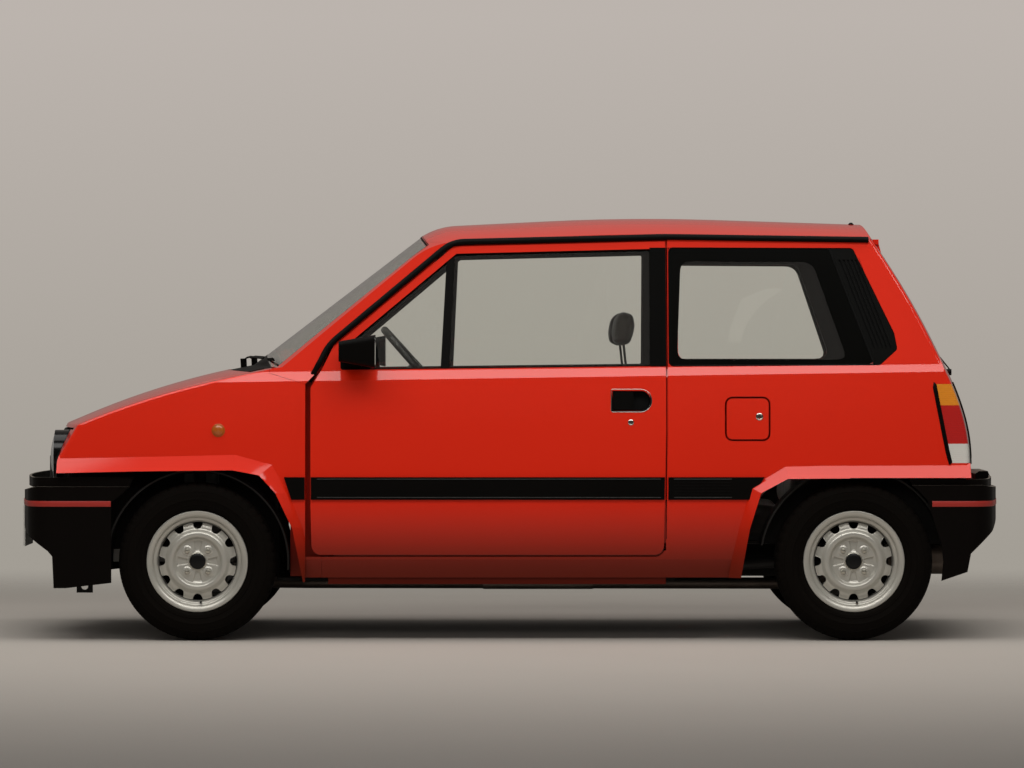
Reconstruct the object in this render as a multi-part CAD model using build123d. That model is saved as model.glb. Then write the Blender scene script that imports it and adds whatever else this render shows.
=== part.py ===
from build123d import *
from functools import lru_cache
from math import atan2, cos, radians, sin, sqrt, tan
import os

# Three-door hatchback, small front-wheel-drive family car with right-hand drive.
# Frame: X along the car with the nose at -X, Y across it with the left side at -Y, Z up from the road.
# All lengths are millimetres.

# ---------------------------------------------------------------- running gear
FRONT_AXLE_X = -1055.0
REAR_AXLE_X = 1165.0
TYRE_R = 268.0
WHEEL_PLANE_Y = 685.0
RIM_WELL_T = 5.0
HUB_R = 62.0
STUB_R = 14.0
HUB_CLEAR = 0.3
VENT_HOLES = 12
VENT_CIRCLE_R = 118.0
VENT_R = 13.5
KINGPIN_Y = 650.0
KINGPIN_R = 9.0
STRUT_Y = 566.0
STRUT_R = 20.0

# ---------------------------------------------------------------- body surfaces
HALF_WIDTH = 758.0
WIDEST_Z = 520.0
SIDE_R = 3000.0
SIDE_PLAN_R = 45000.0
SILL_Z = 213.0
TUCK_Z = 275.0
TUCK_HALF_WIDTH = 728.0
BELT_Z = 918.0
BELT_HALF_WIDTH = 718.0
BELT_SLOPE = 0.66
BEVEL_LEAN = 30.0
TUMBLEHOME = 13.0
TOP_CROWN_R = 2900.0
HOOD_CROWN_R = 7680.0
NOSE_X = -1604.0
NOSE_PLAN_R = 3450.0
TAIL_X = 1600.0
TAIL_PLAN_R = 6000.0
HOOD_FRONT_Z = 719.0
COWL_X = -983.0
COWL_PLAN_R = 2135.0
SCREEN_FOOT = (-857.0, 961.0)
SCREEN_HEAD = (-296.0, 1389.0)
ROOF_PEAK_Z = 1447.0
FAR = 2600.0

GATE_EDGE_R = 12.0
TAIL_EDGE_R = 12.0
NOSE_EDGE_R = 15.0
HOOD_EDGE_R = 8.0

# ---------------------------------------------------------------- panels
SKIN = 8.0
GAP = 6.5
FIT = 0.3
DOOR_T = 80.0
PILLAR_T = 40.0
REBATE = 14.0
LAP = 14.0
DOOR_BOX_IN = 20.0
WINDOW_LIP = 4.0
DOOR_FRONT_X = -684.0
DOOR_REAR_X = 530.0
DOOR_FOOT_Z = 290.0
DOOR_CORNER_R = 32.0
FRAME_W = 31.0
RAIL_W = 22.0
RAIL_PROUD = 12.0
QUARTER_FRONT_X = DOOR_REAR_X + GAP
COWL_GAP = 10.0
GLASS_IN = 3.0
GLASS_T = 5.0
GLASS_SEAT = GLASS_IN + GLASS_T + 0.3
GLASS_LAP = 14.0
GLASS_DEPTH = 14.0
GLASS_EDGE = 0.3
ROOF_T = 28.0
HOOD_T = 26.0
HOOD_SIDE_IN = 52.0
TAILGATE_T = 42.0
TAILGATE_TOP_Z = 1339.0
TAILGATE_FOOT_Z = 592.0
TAILGATE_LOW_HALF = 548.0
HEADER_HALF = 500.0
FRAME_T = 35.0
SILL_T = 95.0
SILL_FRONT_X = -634.0
SILL_LIP_Z = 190.0
PILLAR_OUT_Y = 640.0
PILLAR_IN_Y = 560.0
HINGE_POST_REAR_X = -598.0
BULKHEAD_X = -790.0
FLOOR_Z = 196.0
FLOOR_T = 10.0
FLOOR_HALF = PILLAR_IN_Y - 0.3
KICK_X = 560.0
BOOT_Z = 322.0
INNER_Y = 445.0
LINER_R = 304.0
LINER_OUT_Y = 738.0
TOWER_Y = 520.0
TOWER_R = 66.0
TOWER_TOP_Z = 780.0
HOUSE_R = 312.0
HOUSE_IN_Y = 552.0
HOUSE_OUT_Y = 744.0
STRUT_FOOT_Z = 374.0
KNUCKLE_LOW_Z = 182.0
KNUCKLE_TOP_Z = 364.0
DISC_INNER_Y = WHEEL_PLANE_Y + 28.0
FLARE_SUNK = 12.0
FLARE_PROUD = 36.0
MOULD_LOW_Z = 477.0
MOULD_HIGH_Z = 553.0
MOULD_PROUD = 7.0
HANDLE_FRONT_X = 348.0
HANDLE_REAR_X = 478.0
HANDLE_LOW_Z = 778.0
HANDLE_HIGH_Z = 845.0
HANDLE_DEPTH = 24.0
MIRROR_W = 150.0
MIRROR_H = 112.0
MARKER_X = -984.0
MARKER_Z = 711.0
MARKER_R = 22.0
VENT_LOW_X = 1253.0
VENT_HIGH_X = 1078.0
VENT_LEAN = (VENT_LOW_X - VENT_HIGH_X) / 460
VENT_SLOTS = 5
VENT_SLOT_W = 7.0
VENT_SLOT_LOW_Z = 990.0
VENT_SLOT_HIGH_Z = 1290.0
FUEL_FRONT_X = 735.0
FUEL_REAR_X = 877.0
FUEL_LOW_Z = 681.0
FUEL_TOP_Z = 819.0
FUEL_Z = (FUEL_LOW_Z + FUEL_TOP_Z) / 2
FUEL_GAP = 6.2
FUEL_T = 4.0
FUEL_BACK_Y = 650.0
FRONT_BUMPER_X = -1684.0
PLATE_T = 5.7
REAR_BUMPER_X = 1690.0
BUMPER_HALF = 770.0
BUMPER_T = 10.0
FRONT_PANEL_X = -1484.0
TOW_EYE = (-1475.0, -200.0, 162.0)
TOW_EYE_R = 12.0
TOW_EYE_T = 10.0
RADIATOR_HALF = 240.0
LAMP_Y = 560.0
LAMP_Z = 617.0
LAMP_R = 86.0
LAMP_RIM = 8.0
LAMP_DOME = 16.0
LAMP_DEPTH = 45.0
GRILLE_T = 28.0
GRILLE_LOW_Z = 522.0
GRILLE_Z = 617.0
GRILLE_H = 150.0
GRILLE_HALF = 420.0
SLATS = 5
TAIL_PANEL_T = 12.0
QUARTER_FOOT_Z = 551.0
PLATE_LOW_Z = 300.0
DASH_HALF = 560.0
COLUMN_Y = 350.0
COLUMN_RAKE = 41.5
COLUMN_R = 28.0
SHAFT_R = 10.0
WHEEL_CENTRE = (-322.0, 914.0)
STEER_R = 185.0
WIPER_BOSS_R = 11.0
SEAT_Y = 345.0
SEAT_W = 480.0
REAR_SEAT_HALF = 530.0

# ---------------------------------------------------------------- joints
DOOR_HINGE_X = DOOR_FRONT_X + 80.0
DOOR_HINGE_Y = 733.0
DOOR_HINGE_LEAN = 2.68
DOOR_HINGE_ZS = (420.0, 760.0)
DOOR_PIN_R = 6.0
PIN_CLEAR = 0.3
KNUCKLE_R = 11.0
KNUCKLE_H = 40.0
HOOD_HINGE_X = -850.0
HOOD_HINGE_Y = 600.0
HOOD_HINGE_Z = 894.0
HOOD_PIN_R = 5.0
GATE_HINGE_X = 1268.0
GATE_HINGE_Y = 300.0
GATE_HINGE_Z = 1352.0
GATE_PIN_R = 3.5
GATE_KNUCKLE_R = 7.0
FUEL_HINGE_X = FUEL_FRONT_X - 30.0
FUEL_HINGE_Y = 724.0
FUEL_PIN_R = 3.0
NECK_REACH = 39.0
NECK_T = 7.0


# ================================================================ sketch and solid aids
def loop(points, radius=0.0):
    """A closed face in the side view, from (x, z) corners rounded by radius."""
    if radius:
        return make_face(FilletPolyline(*points, radius=radius, close=True))
    return make_face(Polyline(*points, close=True))


def side_prism(face, near=0.0, far=FAR):
    """A side-view face run out to the left, from |Y| = near to |Y| = far."""
    return extrude(Plane((0, -near, 0), x_dir=(1, 0, 0), z_dir=(0, -1, 0)) * face, far - near)


def across(face, half=FAR):
    """A side-view face run out to both sides."""
    return extrude(Plane.XZ * face, half, both=True)


def plan_prism(face, low, high):
    """A plan-view face stood up between two heights."""
    return extrude(Pos(0, 0, low) * face, high - low)


def block(x0, x1, y0, y1, z0, z1):
    """A box between two corners."""
    return Pos((x0 + x1) / 2, (y0 + y1) / 2, (z0 + z1) / 2) * Box(x1 - x0, y1 - y0, z1 - z0)


def rod(start, end, radius):
    """A round bar between two points."""
    a, b = Vector(*start), Vector(*end)
    return Plane(origin=a, z_dir=(b - a)) * Cylinder(
        radius, (b - a).length, align=(Align.CENTER, Align.CENTER, Align.MIN)
    )


def swung(face, axis, half_angle):
    """The solid that a face sweeps to both sides of its own plane about an axis."""
    return revolve(face.rotate(axis, -half_angle), axis, 2 * half_angle)


def flipped(solid):
    """The right-hand twin of a left-hand solid."""
    return mirror(solid, about=Plane.XZ)


def pieces(shape):
    """The solids in a shape, largest first."""
    return sorted(shape.solids(), key=lambda s: -s.volume)


def main_piece(shape):
    return pieces(shape)[0]


def save(name, *shapes):
    """Write one node; like pieces on one body share it."""
    solids = [s for shape in shapes for s in shape.solids()]
    export_step(solids[0] if len(solids) == 1 else Compound(children=solids), f"parts/{name}.step")


# ================================================================ body surfaces
def side_y(z, inset=0.0):
    """Half width of the lower body side at height z."""
    return HALF_WIDTH - SIDE_R + sqrt((SIDE_R - inset) ** 2 - (z - WIDEST_Z) ** 2)


def drawn_in(corners, inset):
    """A closed outline of (x, y, radius) corners, listed clockwise, with every side moved in by inset."""
    moved = []
    for (ax, ay, _), (bx, by, radius), (cx, cy, _) in zip(corners[-1:] + corners[:-1], corners,
            corners[1:] + corners[:1]):
        before, after = Vector(bx - ax, by - ay).normalized(), Vector(cx - bx, cy - by).normalized()
        bisector = Vector(before.Y + after.Y, -before.X - after.X)
        reach = 2 * inset / bisector.length**2
        moved.append(((bx + bisector.X * reach, by + bisector.Y * reach),
                      max(radius - inset, 0) if radius else 0))
    return make_face(FilletPolyline(*[p for p, _ in moved], radius=[r for _, r in moved], close=True))


def lower_section(inset):
    """Cross-section bounded on the left by the bowed lower body side and the sill tuck."""
    top = ROOF_PEAK_Z + 100
    mid = (TUCK_Z + top) / 2
    low = SILL_Z + min(inset, (TUCK_Z - SILL_Z) / 2)
    tuck = (side_y(TUCK_Z) - TUCK_HALF_WIDTH) / (TUCK_Z - SILL_Z)
    shoulder, waist = (-side_y(top, inset), top), (-side_y(TUCK_Z, inset), TUCK_Z)
    foot = (waist[0] + tuck * (TUCK_Z - low), low)
    edges = Polyline(shoulder, (1500, top), (1500, low), foot, waist)
    return make_face(edges + ThreePointArc(waist, (-side_y(mid, inset), mid), shoulder))


def upper_section(inset):
    """Cross-section bounded on the left by the shoulder bevel and the leaning glass line."""
    drop = BELT_Z - 100
    rise = ROOF_PEAK_Z + 150 - BELT_Z
    low = (-BELT_HALF_WIDTH - drop * tan(radians(BEVEL_LEAN)), 100, 0)
    high = (-BELT_HALF_WIDTH + rise * tan(radians(TUMBLEHOME)), BELT_Z + rise, 0)
    return drawn_in([low, (-BELT_HALF_WIDTH, BELT_Z, 0), high, (1500, BELT_Z + rise, 0), (1500, 100, 0)],
                    inset)


def body_sides(inset):
    """The four solids, two a side, whose common part lies between the body sides drawn in by inset."""
    axis = Axis((0, SIDE_PLAN_R - HALF_WIDTH, 0), (0, 0, 1))
    solids = []
    for section, slope in ((lower_section(inset), 0.0), (upper_section(inset), -BELT_SLOPE)):
        left = swung(Plane.YZ * section, axis, 3)
        left = left.rotate(Axis((0, 0, BELT_Z), (0, 1, 0)), slope)
        solids += [left, flipped(left)]
    return solids


def hood_section(inset):
    """Bonnet line on the car's middle plane, and the room under it."""
    corners = [(-1760, 637, 0), (-1215, 868, 2700), (-560, 1000, 0), (-560, -40, 0), (-1760, -40, 0)]
    return drawn_in(corners, inset)


def cabin_section(inset):
    """Windscreen, roof and the room behind them, on the car's middle plane."""
    run = (SCREEN_HEAD[0] - SCREEN_FOOT[0]) / (SCREEN_HEAD[1] - SCREEN_FOOT[1])
    foot = (SCREEN_FOOT[0] - 380 * run, SCREEN_FOOT[1] - 380, 0)
    head = (SCREEN_HEAD[0] + 24 * run, SCREEN_HEAD[1] + 24, 250)
    return drawn_in([foot, head, (420, ROOF_PEAK_Z, 7000), (1900, 1399, 0), (1900, -40, 0),
                     (foot[0], -40, 0)], inset)


def nose_section(inset):
    """Grille face on the car's middle plane, and the room behind it."""
    return drawn_in([(NOSE_X, -40, 0), (NOSE_X, 618, 0), (-1440, 900, 0), (-859, 1900, 0), (1760, 1900, 0),
                     (1760, -40, 0)], inset)


def tail_section(inset):
    """Tailgate and rear panel on the car's middle plane, and the room ahead of them."""
    corners = [(-2000, -40, 0), (-2000, 1900, 0), (900, 1900, 0), (1400, 1155, 2500), (1552, 845, 880),
               (TAIL_X, 690, 580),
               (TAIL_X, -40, 0)]
    return drawn_in(corners, inset)


def crowned(section, crown_r, peak_z):
    """A side-view section bent over a fore-and-aft axis, so that its top is crowned."""
    return swung(Plane.XZ * section, Axis((0, 0, peak_z - crown_r), (1, 0, 0)), 25)


def bowed(section, axis_x):
    """A side-view section bent about an upright axis, so that its end is bowed in plan."""
    return swung(Plane.XZ * section, Axis((axis_x, 0, 0), (0, 0, 1)), 85)


def between_sides(solid, inset):
    """The part of a solid that lies between the body sides drawn in by inset."""
    for side in body_sides(inset):
        solid = solid & side
    return solid


def body_form(inset):
    """The common part of every surface of the body, or nothing where two of them only graze each other."""
    form = block(-1900, 1900, -900, 900, 100, 1500)
    bounds = [bowed(nose_section(inset), NOSE_X + NOSE_PLAN_R),
              bowed(tail_section(inset), TAIL_X - TAIL_PLAN_R)]
    for bound in bounds + body_sides(inset):
        form = form & bound
        if not form.solids():
            return None
    halves = [form & crowned(hood_section(inset), HOOD_CROWN_R, 870),
              form & crowned(cabin_section(inset), TOP_CROWN_R, 1440)]
    return halves[0] + halves[1] if all(half.solids() for half in halves) else None


@lru_cache(maxsize=None)
def envelope(inset):
    """The whole body form, with every surface drawn in by inset, to within a few hundredths."""
    for nudge in (0, 0.02, -0.02, 0.04, -0.04, 0.06, -0.06):
        form = body_form(inset + nudge)
        if form and len(form.solids()) == 1 and form.is_valid:
            return form if inset else soft_edged(form)
    raise ValueError(f"no body form at inset {inset}")


def soft_edged(form):
    """The body form with its upright creases rounded: tail pillars, tail corners, nose corners, bonnet sides."""
    runs = (
        (GATE_EDGE_R, 1240, 1700, 940, 1345),
        (TAIL_EDGE_R, 1490, 1700, TUCK_Z, 905),
        (NOSE_EDGE_R, -1700, -1470, TUCK_Z, HOOD_FRONT_Z),
        (HOOD_EDGE_R, -1300, -870, 700, 1000),
    )
    for radius, x0, x1, z0, z1 in runs:
        crease = []
        for edge in form.edges():
            at, ends = edge.position_at(0.5), (edge.position_at(0), edge.position_at(1))
            if x0 < at.X < x1 and z0 < at.Z < z1 and abs(ends[0].Y - ends[1].Y) < 70 and abs(at.Y) > 590:
                crease.append(edge)
        form = fillet(crease, radius)
    return form


def layer(room, outer, inner):
    """The part of a solid that lies between two depths below the body surface."""
    return (room & envelope(outer)) - envelope(inner)


def belt_z(x):
    return BELT_Z + x * tan(radians(BELT_SLOPE))


# ================================================================ side-view outlines
def under_rail(grow=0.0):
    """What lies below the middle line of the drip rail, from the windscreen pillar to the tail."""
    face = loop(
        [(-690, 860), (-648, 930), (-612, 1003), (-196, 1352), (DOOR_REAR_X, 1370), (1760, 1352),
         (1760, 0), (-690, 0)],
    )
    return offset(face, grow, kind=Kind.INTERSECTION) if grow else face


def door_face(grow=0.0):
    """The door's shut line."""
    block_face = loop(
        [
            (DOOR_FRONT_X + 16, DOOR_FOOT_Z),
            (DOOR_REAR_X - 8, DOOR_FOOT_Z),
            (DOOR_REAR_X, 700),
            (DOOR_REAR_X, 1500),
            (-900, 1500),
            (-900, 960),
            (DOOR_FRONT_X, 868),
        ],
        DOOR_CORNER_R,
    )
    face = block_face & under_rail(-RAIL_W / 2 - GAP)
    return offset(face, grow, kind=Kind.INTERSECTION) if grow else face


def window_face(grow=0.0):
    """The glass opening of the door, quarter light included."""
    rear = DOOR_REAR_X - 50
    low = WINDOW_LIP
    block_face = loop([(-572, belt_z(-572) + low), (rear, belt_z(rear) + low), (rear, 1500), (-572, 1500)])
    face = block_face & under_rail(-RAIL_W / 2 - FRAME_W)
    face = fillet(face.vertices(), 9)
    return offset(face, grow, kind=Kind.INTERSECTION) if grow else face


def quarter_face():
    """The recess that holds the quarter window and the vent behind it."""
    front = QUARTER_FRONT_X + 3
    return loop([(front, 927), (1256, 931), (1316, 985), (1306, 1040), (1168, 1330), (front, 1332)], 16)


def quarter_aperture():
    return loop([(572, 948), (1160, 948), (1036, 1290), (572, 1290)], 30)


ARCH_R = 24.0
ARCH_FRONT = [(-1700, 563), (-1270, 573), (-935, 577), (-845, 560), (-790, 500), (-733, 381), (-686, 150),
              (-1700, 150)]
ARCH_REAR = [(770, 150), (812, 380), (850, 500), (940, 548), (1061, 549), (1700, 551), (1700, 150)]
FLARE_FRONT = [(-1700, 620), (-1270, 633), (-925, 642), (-790, 604), (-735, 500), (-692, 381), (-655, 150),
               (-1700, 150)]
FLARE_REAR = [(730, 150), (770, 380), (806, 524), (932, 600), (1061, 604), (1700, 604), (1700, 150)]


def flare(axle_x, lip, root):
    """A wheel-arch flare: it stands out from the body side and leans in to it at the top."""
    turn = axle_x / SIDE_PLAN_R
    surface_y = -HALF_WIDTH + axle_x**2 / (2 * SIDE_PLAN_R)
    faces = []
    for points, out in ((root, -FLARE_SUNK), (lip, FLARE_PROUD)):
        origin = (axle_x, surface_y - out, 0)
        plane = Plane(origin=origin, x_dir=(cos(turn), sin(turn), 0), z_dir=(sin(turn), -cos(turn), 0))
        faces.append(plane * Pos(-axle_x, 0) * loop(points))
    return loft(faces, ruled=True)


# ================================================================ body panels
@lru_cache(maxsize=None)
def door_opening():
    """What the left door opening takes from the body: a wide rebate for the skin, a narrower hole within."""
    rebate = side_prism(door_face(GAP), 450, 900) - envelope(REBATE)
    return rebate + side_prism(door_face(-LAP), 450, 900)


def screen_plane():
    lean = atan2(SCREEN_HEAD[1] - SCREEN_FOOT[1], SCREEN_HEAD[0] - SCREEN_FOOT[0])
    normal = (-sin(lean), 0, cos(lean))
    return Plane(origin=(SCREEN_FOOT[0], 0, SCREEN_FOOT[1]), x_dir=(0, -1, 0), z_dir=normal)


def screen_prism(grow=0.0):
    """The windscreen's outline run through the body at right angles to the glass."""
    face = loop([(-652, 12), (652, 12), (578, 690), (-578, 690)], 40)
    face = offset(face, grow) if grow else face
    return extrude(screen_plane() * face, 400, both=True)


def tail_prism(face):
    """A rear-view face run fore and aft through the tail."""
    return extrude(Plane((900, 0, 0), x_dir=(0, 1, 0), z_dir=(1, 0, 0)) * face, 1200)


def tailgate_face(grow=0.0):
    half = [(TAILGATE_LOW_HALF, TAILGATE_FOOT_Z), (TAILGATE_LOW_HALF, 872), (624, 905),
            (548, TAILGATE_TOP_Z)]
    face = loop(half + [(-y, z) for y, z in reversed(half)], 22)
    return offset(face, grow, kind=Kind.INTERSECTION) if grow else face


def back_window_face(grow=0.0):
    face = loop([(-556, 948), (556, 948), (492, 1296), (-492, 1296)], 45)
    return offset(face, grow) if grow else face


@lru_cache(maxsize=None)
def tailgate_opening():
    rebate = tail_prism(tailgate_face(GAP + 0.6)) - envelope(REBATE)
    return rebate + tail_prism(tailgate_face(-LAP))


def seat_for_glass(prism, depth):
    """A rebate of the given depth for a bonded pane."""
    return prism - envelope(depth)


def roof_zone(grow=0.0):
    face = loop([(-345, 1700), (-345, 1362), (-214, 1345), (-214, 1280), (DOOR_REAR_X - 20, 1280),
                 (DOOR_REAR_X - 20, 1366), (1330, 1361), (1330, 1700)])
    return offset(face, grow, kind=Kind.INTERSECTION) if grow else face


def make_roof():
    panel = layer(across(roof_zone(), 700), 0, ROOF_T)
    panel -= screen_prism(-GLASS_LAP) + seat_for_glass(screen_prism(), GLASS_SEAT)
    opening = door_opening()
    panel -= opening + flipped(opening)
    panel += layer(block(1150, 1400, -HEADER_HALF, HEADER_HALF, TAILGATE_TOP_Z - LAP, 1370), REBATE, ROOF_T)
    panel -= tailgate_opening()
    return main_piece(panel)


def make_front_pillars():
    """Windscreen pillar on top of the hinge pillar, left side."""
    zone = loop([(-812, 905), (-690, 868), (-655, 905), (-500, 905), (-214, 1345), (-345, 1362),
                 (-420, 1420), (-812, 1200)])
    post = layer(side_prism(zone, 300, 900), 0, PILLAR_T) - screen_prism(-GLASS_LAP)
    post -= seat_for_glass(screen_prism(), GLASS_SEAT)
    post -= door_opening()
    post -= across(roof_zone(FIT))
    post -= cowl_room(HOOD_SIDE_IN - 1) - screen_prism()
    post = main_piece(post)
    post += block(-744, -640, -PILLAR_OUT_Y - 60, -PILLAR_IN_Y, 890, 925) & envelope(SKIN + 6)
    post += block(-744, HINGE_POST_REAR_X, -PILLAR_OUT_Y, -PILLAR_IN_Y, SILL_Z + 1 + FIT, 925)
    post -= door_swing()
    for z in DOOR_HINGE_ZS:
        post += hinge_leaf(z)
    return main_piece(post)


def door_swing():
    """Room for the door's upper front corner to turn in behind the pillar's skin."""
    corner = loop([(DOOR_FRONT_X - 16, 850), (DOOR_HINGE_X + 6, 850), (DOOR_HINGE_X + 6, 1000),
                   (DOOR_FRONT_X - 16, 1000)])
    return side_prism(corner & door_face(GAP), PILLAR_OUT_Y, 900)


def hinge_axis_y(z):
    """Where the leaning door hinge line passes at height z, left side."""
    return -DOOR_HINGE_Y + (z - DOOR_HINGE_ZS[0]) * tan(radians(DOOR_HINGE_LEAN))


def hinge_point(z):
    return (DOOR_HINGE_X, hinge_axis_y(z), z)


def hinge_leaf(z):
    """Pillar side of one door hinge: a pin held by two prongs."""
    reach = KNUCKLE_H / 2 + 1
    leaf = rod(hinge_point(z - reach - 8), hinge_point(z + reach + 8), DOOR_PIN_R)
    for z0 in (z - reach - 8, z + reach):
        leaf += block(DOOR_HINGE_X - 8, DOOR_HINGE_X + 8, hinge_axis_y(z), -PILLAR_OUT_Y + 1, z0, z0 + 8)
    return leaf


def make_door():
    """Left door: outer skin, inner box, window frame and the hinge knuckles, one pressing."""
    skin = layer(side_prism(door_face() - window_face(), 450, 900), 0, SKIN)
    inner = door_face(-DOOR_BOX_IN) - window_face()
    front, rear = DOOR_HINGE_X + 15, DOOR_REAR_X - 22
    low = loop([(front, 0), (rear, 0), (rear, belt_z(rear) - 3), (front, belt_z(front) - 3)])
    high = loop([(-900, belt_z(-900) - 9), (rear, belt_z(rear) - 9), (rear, 1500), (-900, 1500)])
    box = layer(side_prism(inner & low, 450, 900), SKIN, DOOR_T)
    frame = layer(side_prism(inner & high, 450, 900), SKIN, FRAME_T)
    door = skin + box + frame
    for z in DOOR_HINGE_ZS:
        ends = hinge_point(z - KNUCKLE_H / 2), hinge_point(z + KNUCKLE_H / 2)
        y = hinge_axis_y(z)
        door += rod(*ends, KNUCKLE_R)
        door += block(DOOR_HINGE_X, DOOR_HINGE_X + 24, y - 7, y + 7, z - KNUCKLE_H / 2, z + KNUCKLE_H / 2)
        reach = KNUCKLE_H / 2 + 12
        door -= rod(hinge_point(z - reach), hinge_point(z + reach), DOOR_PIN_R + PIN_CLEAR)
    door -= side_prism(handle_recess(), 450) - envelope(HANDLE_DEPTH)
    return main_piece(door)


def handle_recess():
    """Pull recess of the outer handle: square in front, round behind."""
    r = (HANDLE_HIGH_Z - HANDLE_LOW_Z) / 2
    mid = HANDLE_REAR_X - r
    body = loop([(HANDLE_FRONT_X, HANDLE_LOW_Z), (mid, HANDLE_LOW_Z), (mid, HANDLE_HIGH_Z),
                 (HANDLE_FRONT_X, HANDLE_HIGH_Z)])
    return body + Pos(mid, HANDLE_LOW_Z + r) * Circle(r)


def make_door_glass():
    """Left door glass, with the fixed quarter light in front of the division bar."""
    pane = layer(side_prism(window_face(-GLASS_EDGE), 450, 900), GLASS_DEPTH, GLASS_DEPTH + GLASS_T)
    return main_piece(pane)


def make_door_trim():
    """Black plastic on the left door: side moulding, handle flap, division bar and mirror."""
    strip = loop([(-900, MOULD_LOW_Z), (900, MOULD_LOW_Z), (900, MOULD_HIGH_Z), (-900, MOULD_HIGH_Z)])
    strip = strip & door_face(-1.5)
    moulding = main_piece(layer(side_prism(strip, 450, 900), -MOULD_PROUD, -FIT))
    flap = loop([(HANDLE_FRONT_X + 3, HANDLE_LOW_Z + 3), (HANDLE_FRONT_X + 72, HANDLE_LOW_Z + 3),
                 (HANDLE_FRONT_X + 72, HANDLE_HIGH_Z - 3), (HANDLE_FRONT_X + 3, HANDLE_HIGH_Z - 3)])
    handle = main_piece(layer(side_prism(flap, 450, 900), 1, HANDLE_DEPTH - FIT))
    bar = loop([(-234, 900), (-205, 900), (-184, 1330), (-211, 1330)]) & window_face(-FIT)
    divider = main_piece(layer(side_prism(bar, 450, 900), GLASS_DEPTH - 9, GLASS_DEPTH))
    return [moulding, handle, divider, make_mirror()]


def make_mirror():
    """Left outside mirror on its sail plate."""
    sail = loop([(-590, 900), (-470, 900), (-470, 946), (-540, 992), (-590, 992)]) & window_face(-FIT)
    plate = main_piece(layer(side_prism(sail, 450, 900), GLASS_DEPTH - 9, GLASS_DEPTH))
    face_y = -(BELT_HALF_WIDTH - 16)
    arm = block(-560, -500, face_y - 46, face_y - 1.5, 926, 952)
    head = Plane((-452, 0, 0), x_dir=(0, 1, 0), z_dir=(-1, 0, 0))
    outline = RectangleRounded(MIRROR_W, MIRROR_H, 22)
    centre_y = face_y - 30 - MIRROR_W / 2
    back = Plane((-452, centre_y, 978), x_dir=(0, 1, 0), z_dir=(-1, 0, 0)) * outline
    nose = Plane((-575, centre_y + 22, 978), x_dir=(0, 1, 0),
                 z_dir=(-1, 0, 0)) * RectangleRounded(MIRROR_W - 60, MIRROR_H - 44, 18)
    housing = loft([back, nose])
    return main_piece(plate + arm + housing)


def make_sill():
    """Left sill: a box under the door, with the step that the door closes on."""
    swing_x = DOOR_HINGE_X + 12
    room = block(SILL_FRONT_X, swing_x, -900, -PILLAR_OUT_Y - FIT, SILL_Z - 5, DOOR_FOOT_Z - GAP)
    room += block(swing_x, DOOR_REAR_X, -900, -PILLAR_OUT_Y - FIT, SILL_Z - 5, DOOR_FOOT_Z + LAP)
    outer = between_sides(room, 0) - between_sides(room, SILL_T) - door_opening()
    lip = block(SILL_FRONT_X + 20, DOOR_REAR_X, -TUCK_HALF_WIDTH + 24, -PILLAR_IN_Y, SILL_LIP_Z, SILL_Z + 1)
    return main_piece(outer + lip)


def make_quarter():
    """Left rear quarter: lock pillar, quarter panel, wheel arch and rear pillar in one pressing."""
    zone = under_rail() & loop([(DOOR_REAR_X, SILL_Z - 5), (1700, SILL_Z - 5), (1700, 1500),
                                (DOOR_REAR_X - 30, 1500),
                                (DOOR_REAR_X - 30, 330), (DOOR_REAR_X, 330)])
    upper = layer(side_prism(zone, HEADER_HALF, 900) & block(DOOR_REAR_X - 40, 1700, -900, 0, 850, 1500),
                  0, PILLAR_T)
    lower = layer(side_prism(zone, 560, 900), 0, SKIN)
    post_face = loop([(DOOR_REAR_X - 30, 330), (DOOR_REAR_X, 330), (DOOR_REAR_X, SILL_Z - 5),
                      (DOOR_REAR_X + 46, SILL_Z - 5),
                      (DOOR_REAR_X + 46, 860), (DOOR_REAR_X - 30, 860)])
    post = layer(side_prism(post_face, 560, 900), 0, SILL_T)
    arch = side_prism(loop(ARCH_REAR, ARCH_R), 500)
    rim = (flare(REAR_AXLE_X, ARCH_REAR, FLARE_REAR) & block(600, 1560, -1000, 0, SILL_Z,
            900)) - envelope(SKIN)
    panel = lower + rim - arch
    panel = panel - envelope(SILL_T) + upper + post
    panel -= door_opening()
    panel -= tailgate_opening()
    panel -= across(roof_zone(FIT))
    panel -= side_prism(quarter_aperture(), 300)
    panel -= side_prism(quarter_face(), 450) - envelope(GLASS_SEAT)
    panel -= lamp_cut()
    panel -= block(1150, 1800, -900, 900, 0, QUARTER_FOOT_Z)
    return main_piece(panel)


def lamp_cut(grow=0.0):
    """Room for the left tail lamp, wrapped round the corner."""
    face = loop([(1440, 858), (1458, 763), (1482, 640), (1492, 600), (1760, 600), (1760, 868), (1440, 868)])
    face = offset(face, grow, kind=Kind.INTERSECTION) if grow else face
    return side_prism(face, TAILGATE_LOW_HALF + 10 - grow, 900)


def fuel_face(grow=0.0):
    w = FUEL_REAR_X - FUEL_FRONT_X + 2 * grow
    h = FUEL_TOP_Z - FUEL_LOW_Z + 2 * grow
    centre = ((FUEL_FRONT_X + FUEL_REAR_X) / 2, (FUEL_LOW_Z + FUEL_TOP_Z) / 2)
    return Pos(*centre) * RectangleRounded(w, h, 20 + grow)


def hood_zone(gap=0.0):
    """The bonnet's plan: inside the fender line, ahead of the cowl, above the grille."""
    plan = plan_prism(Pos(COWL_X + COWL_PLAN_R, 0) * Circle(COWL_PLAN_R - gap), 400, 1200)
    ahead = block(-1800, -600, -1000, 1000, HOOD_FRONT_Z - gap, 1100)
    return between_sides(ahead, HOOD_SIDE_IN - gap) - plan


def cowl_room(side_in):
    """The room over the cowl, between the wings."""
    return between_sides(block(COWL_X - 40, -699, -900, 900, 800, 1100), side_in)


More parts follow.
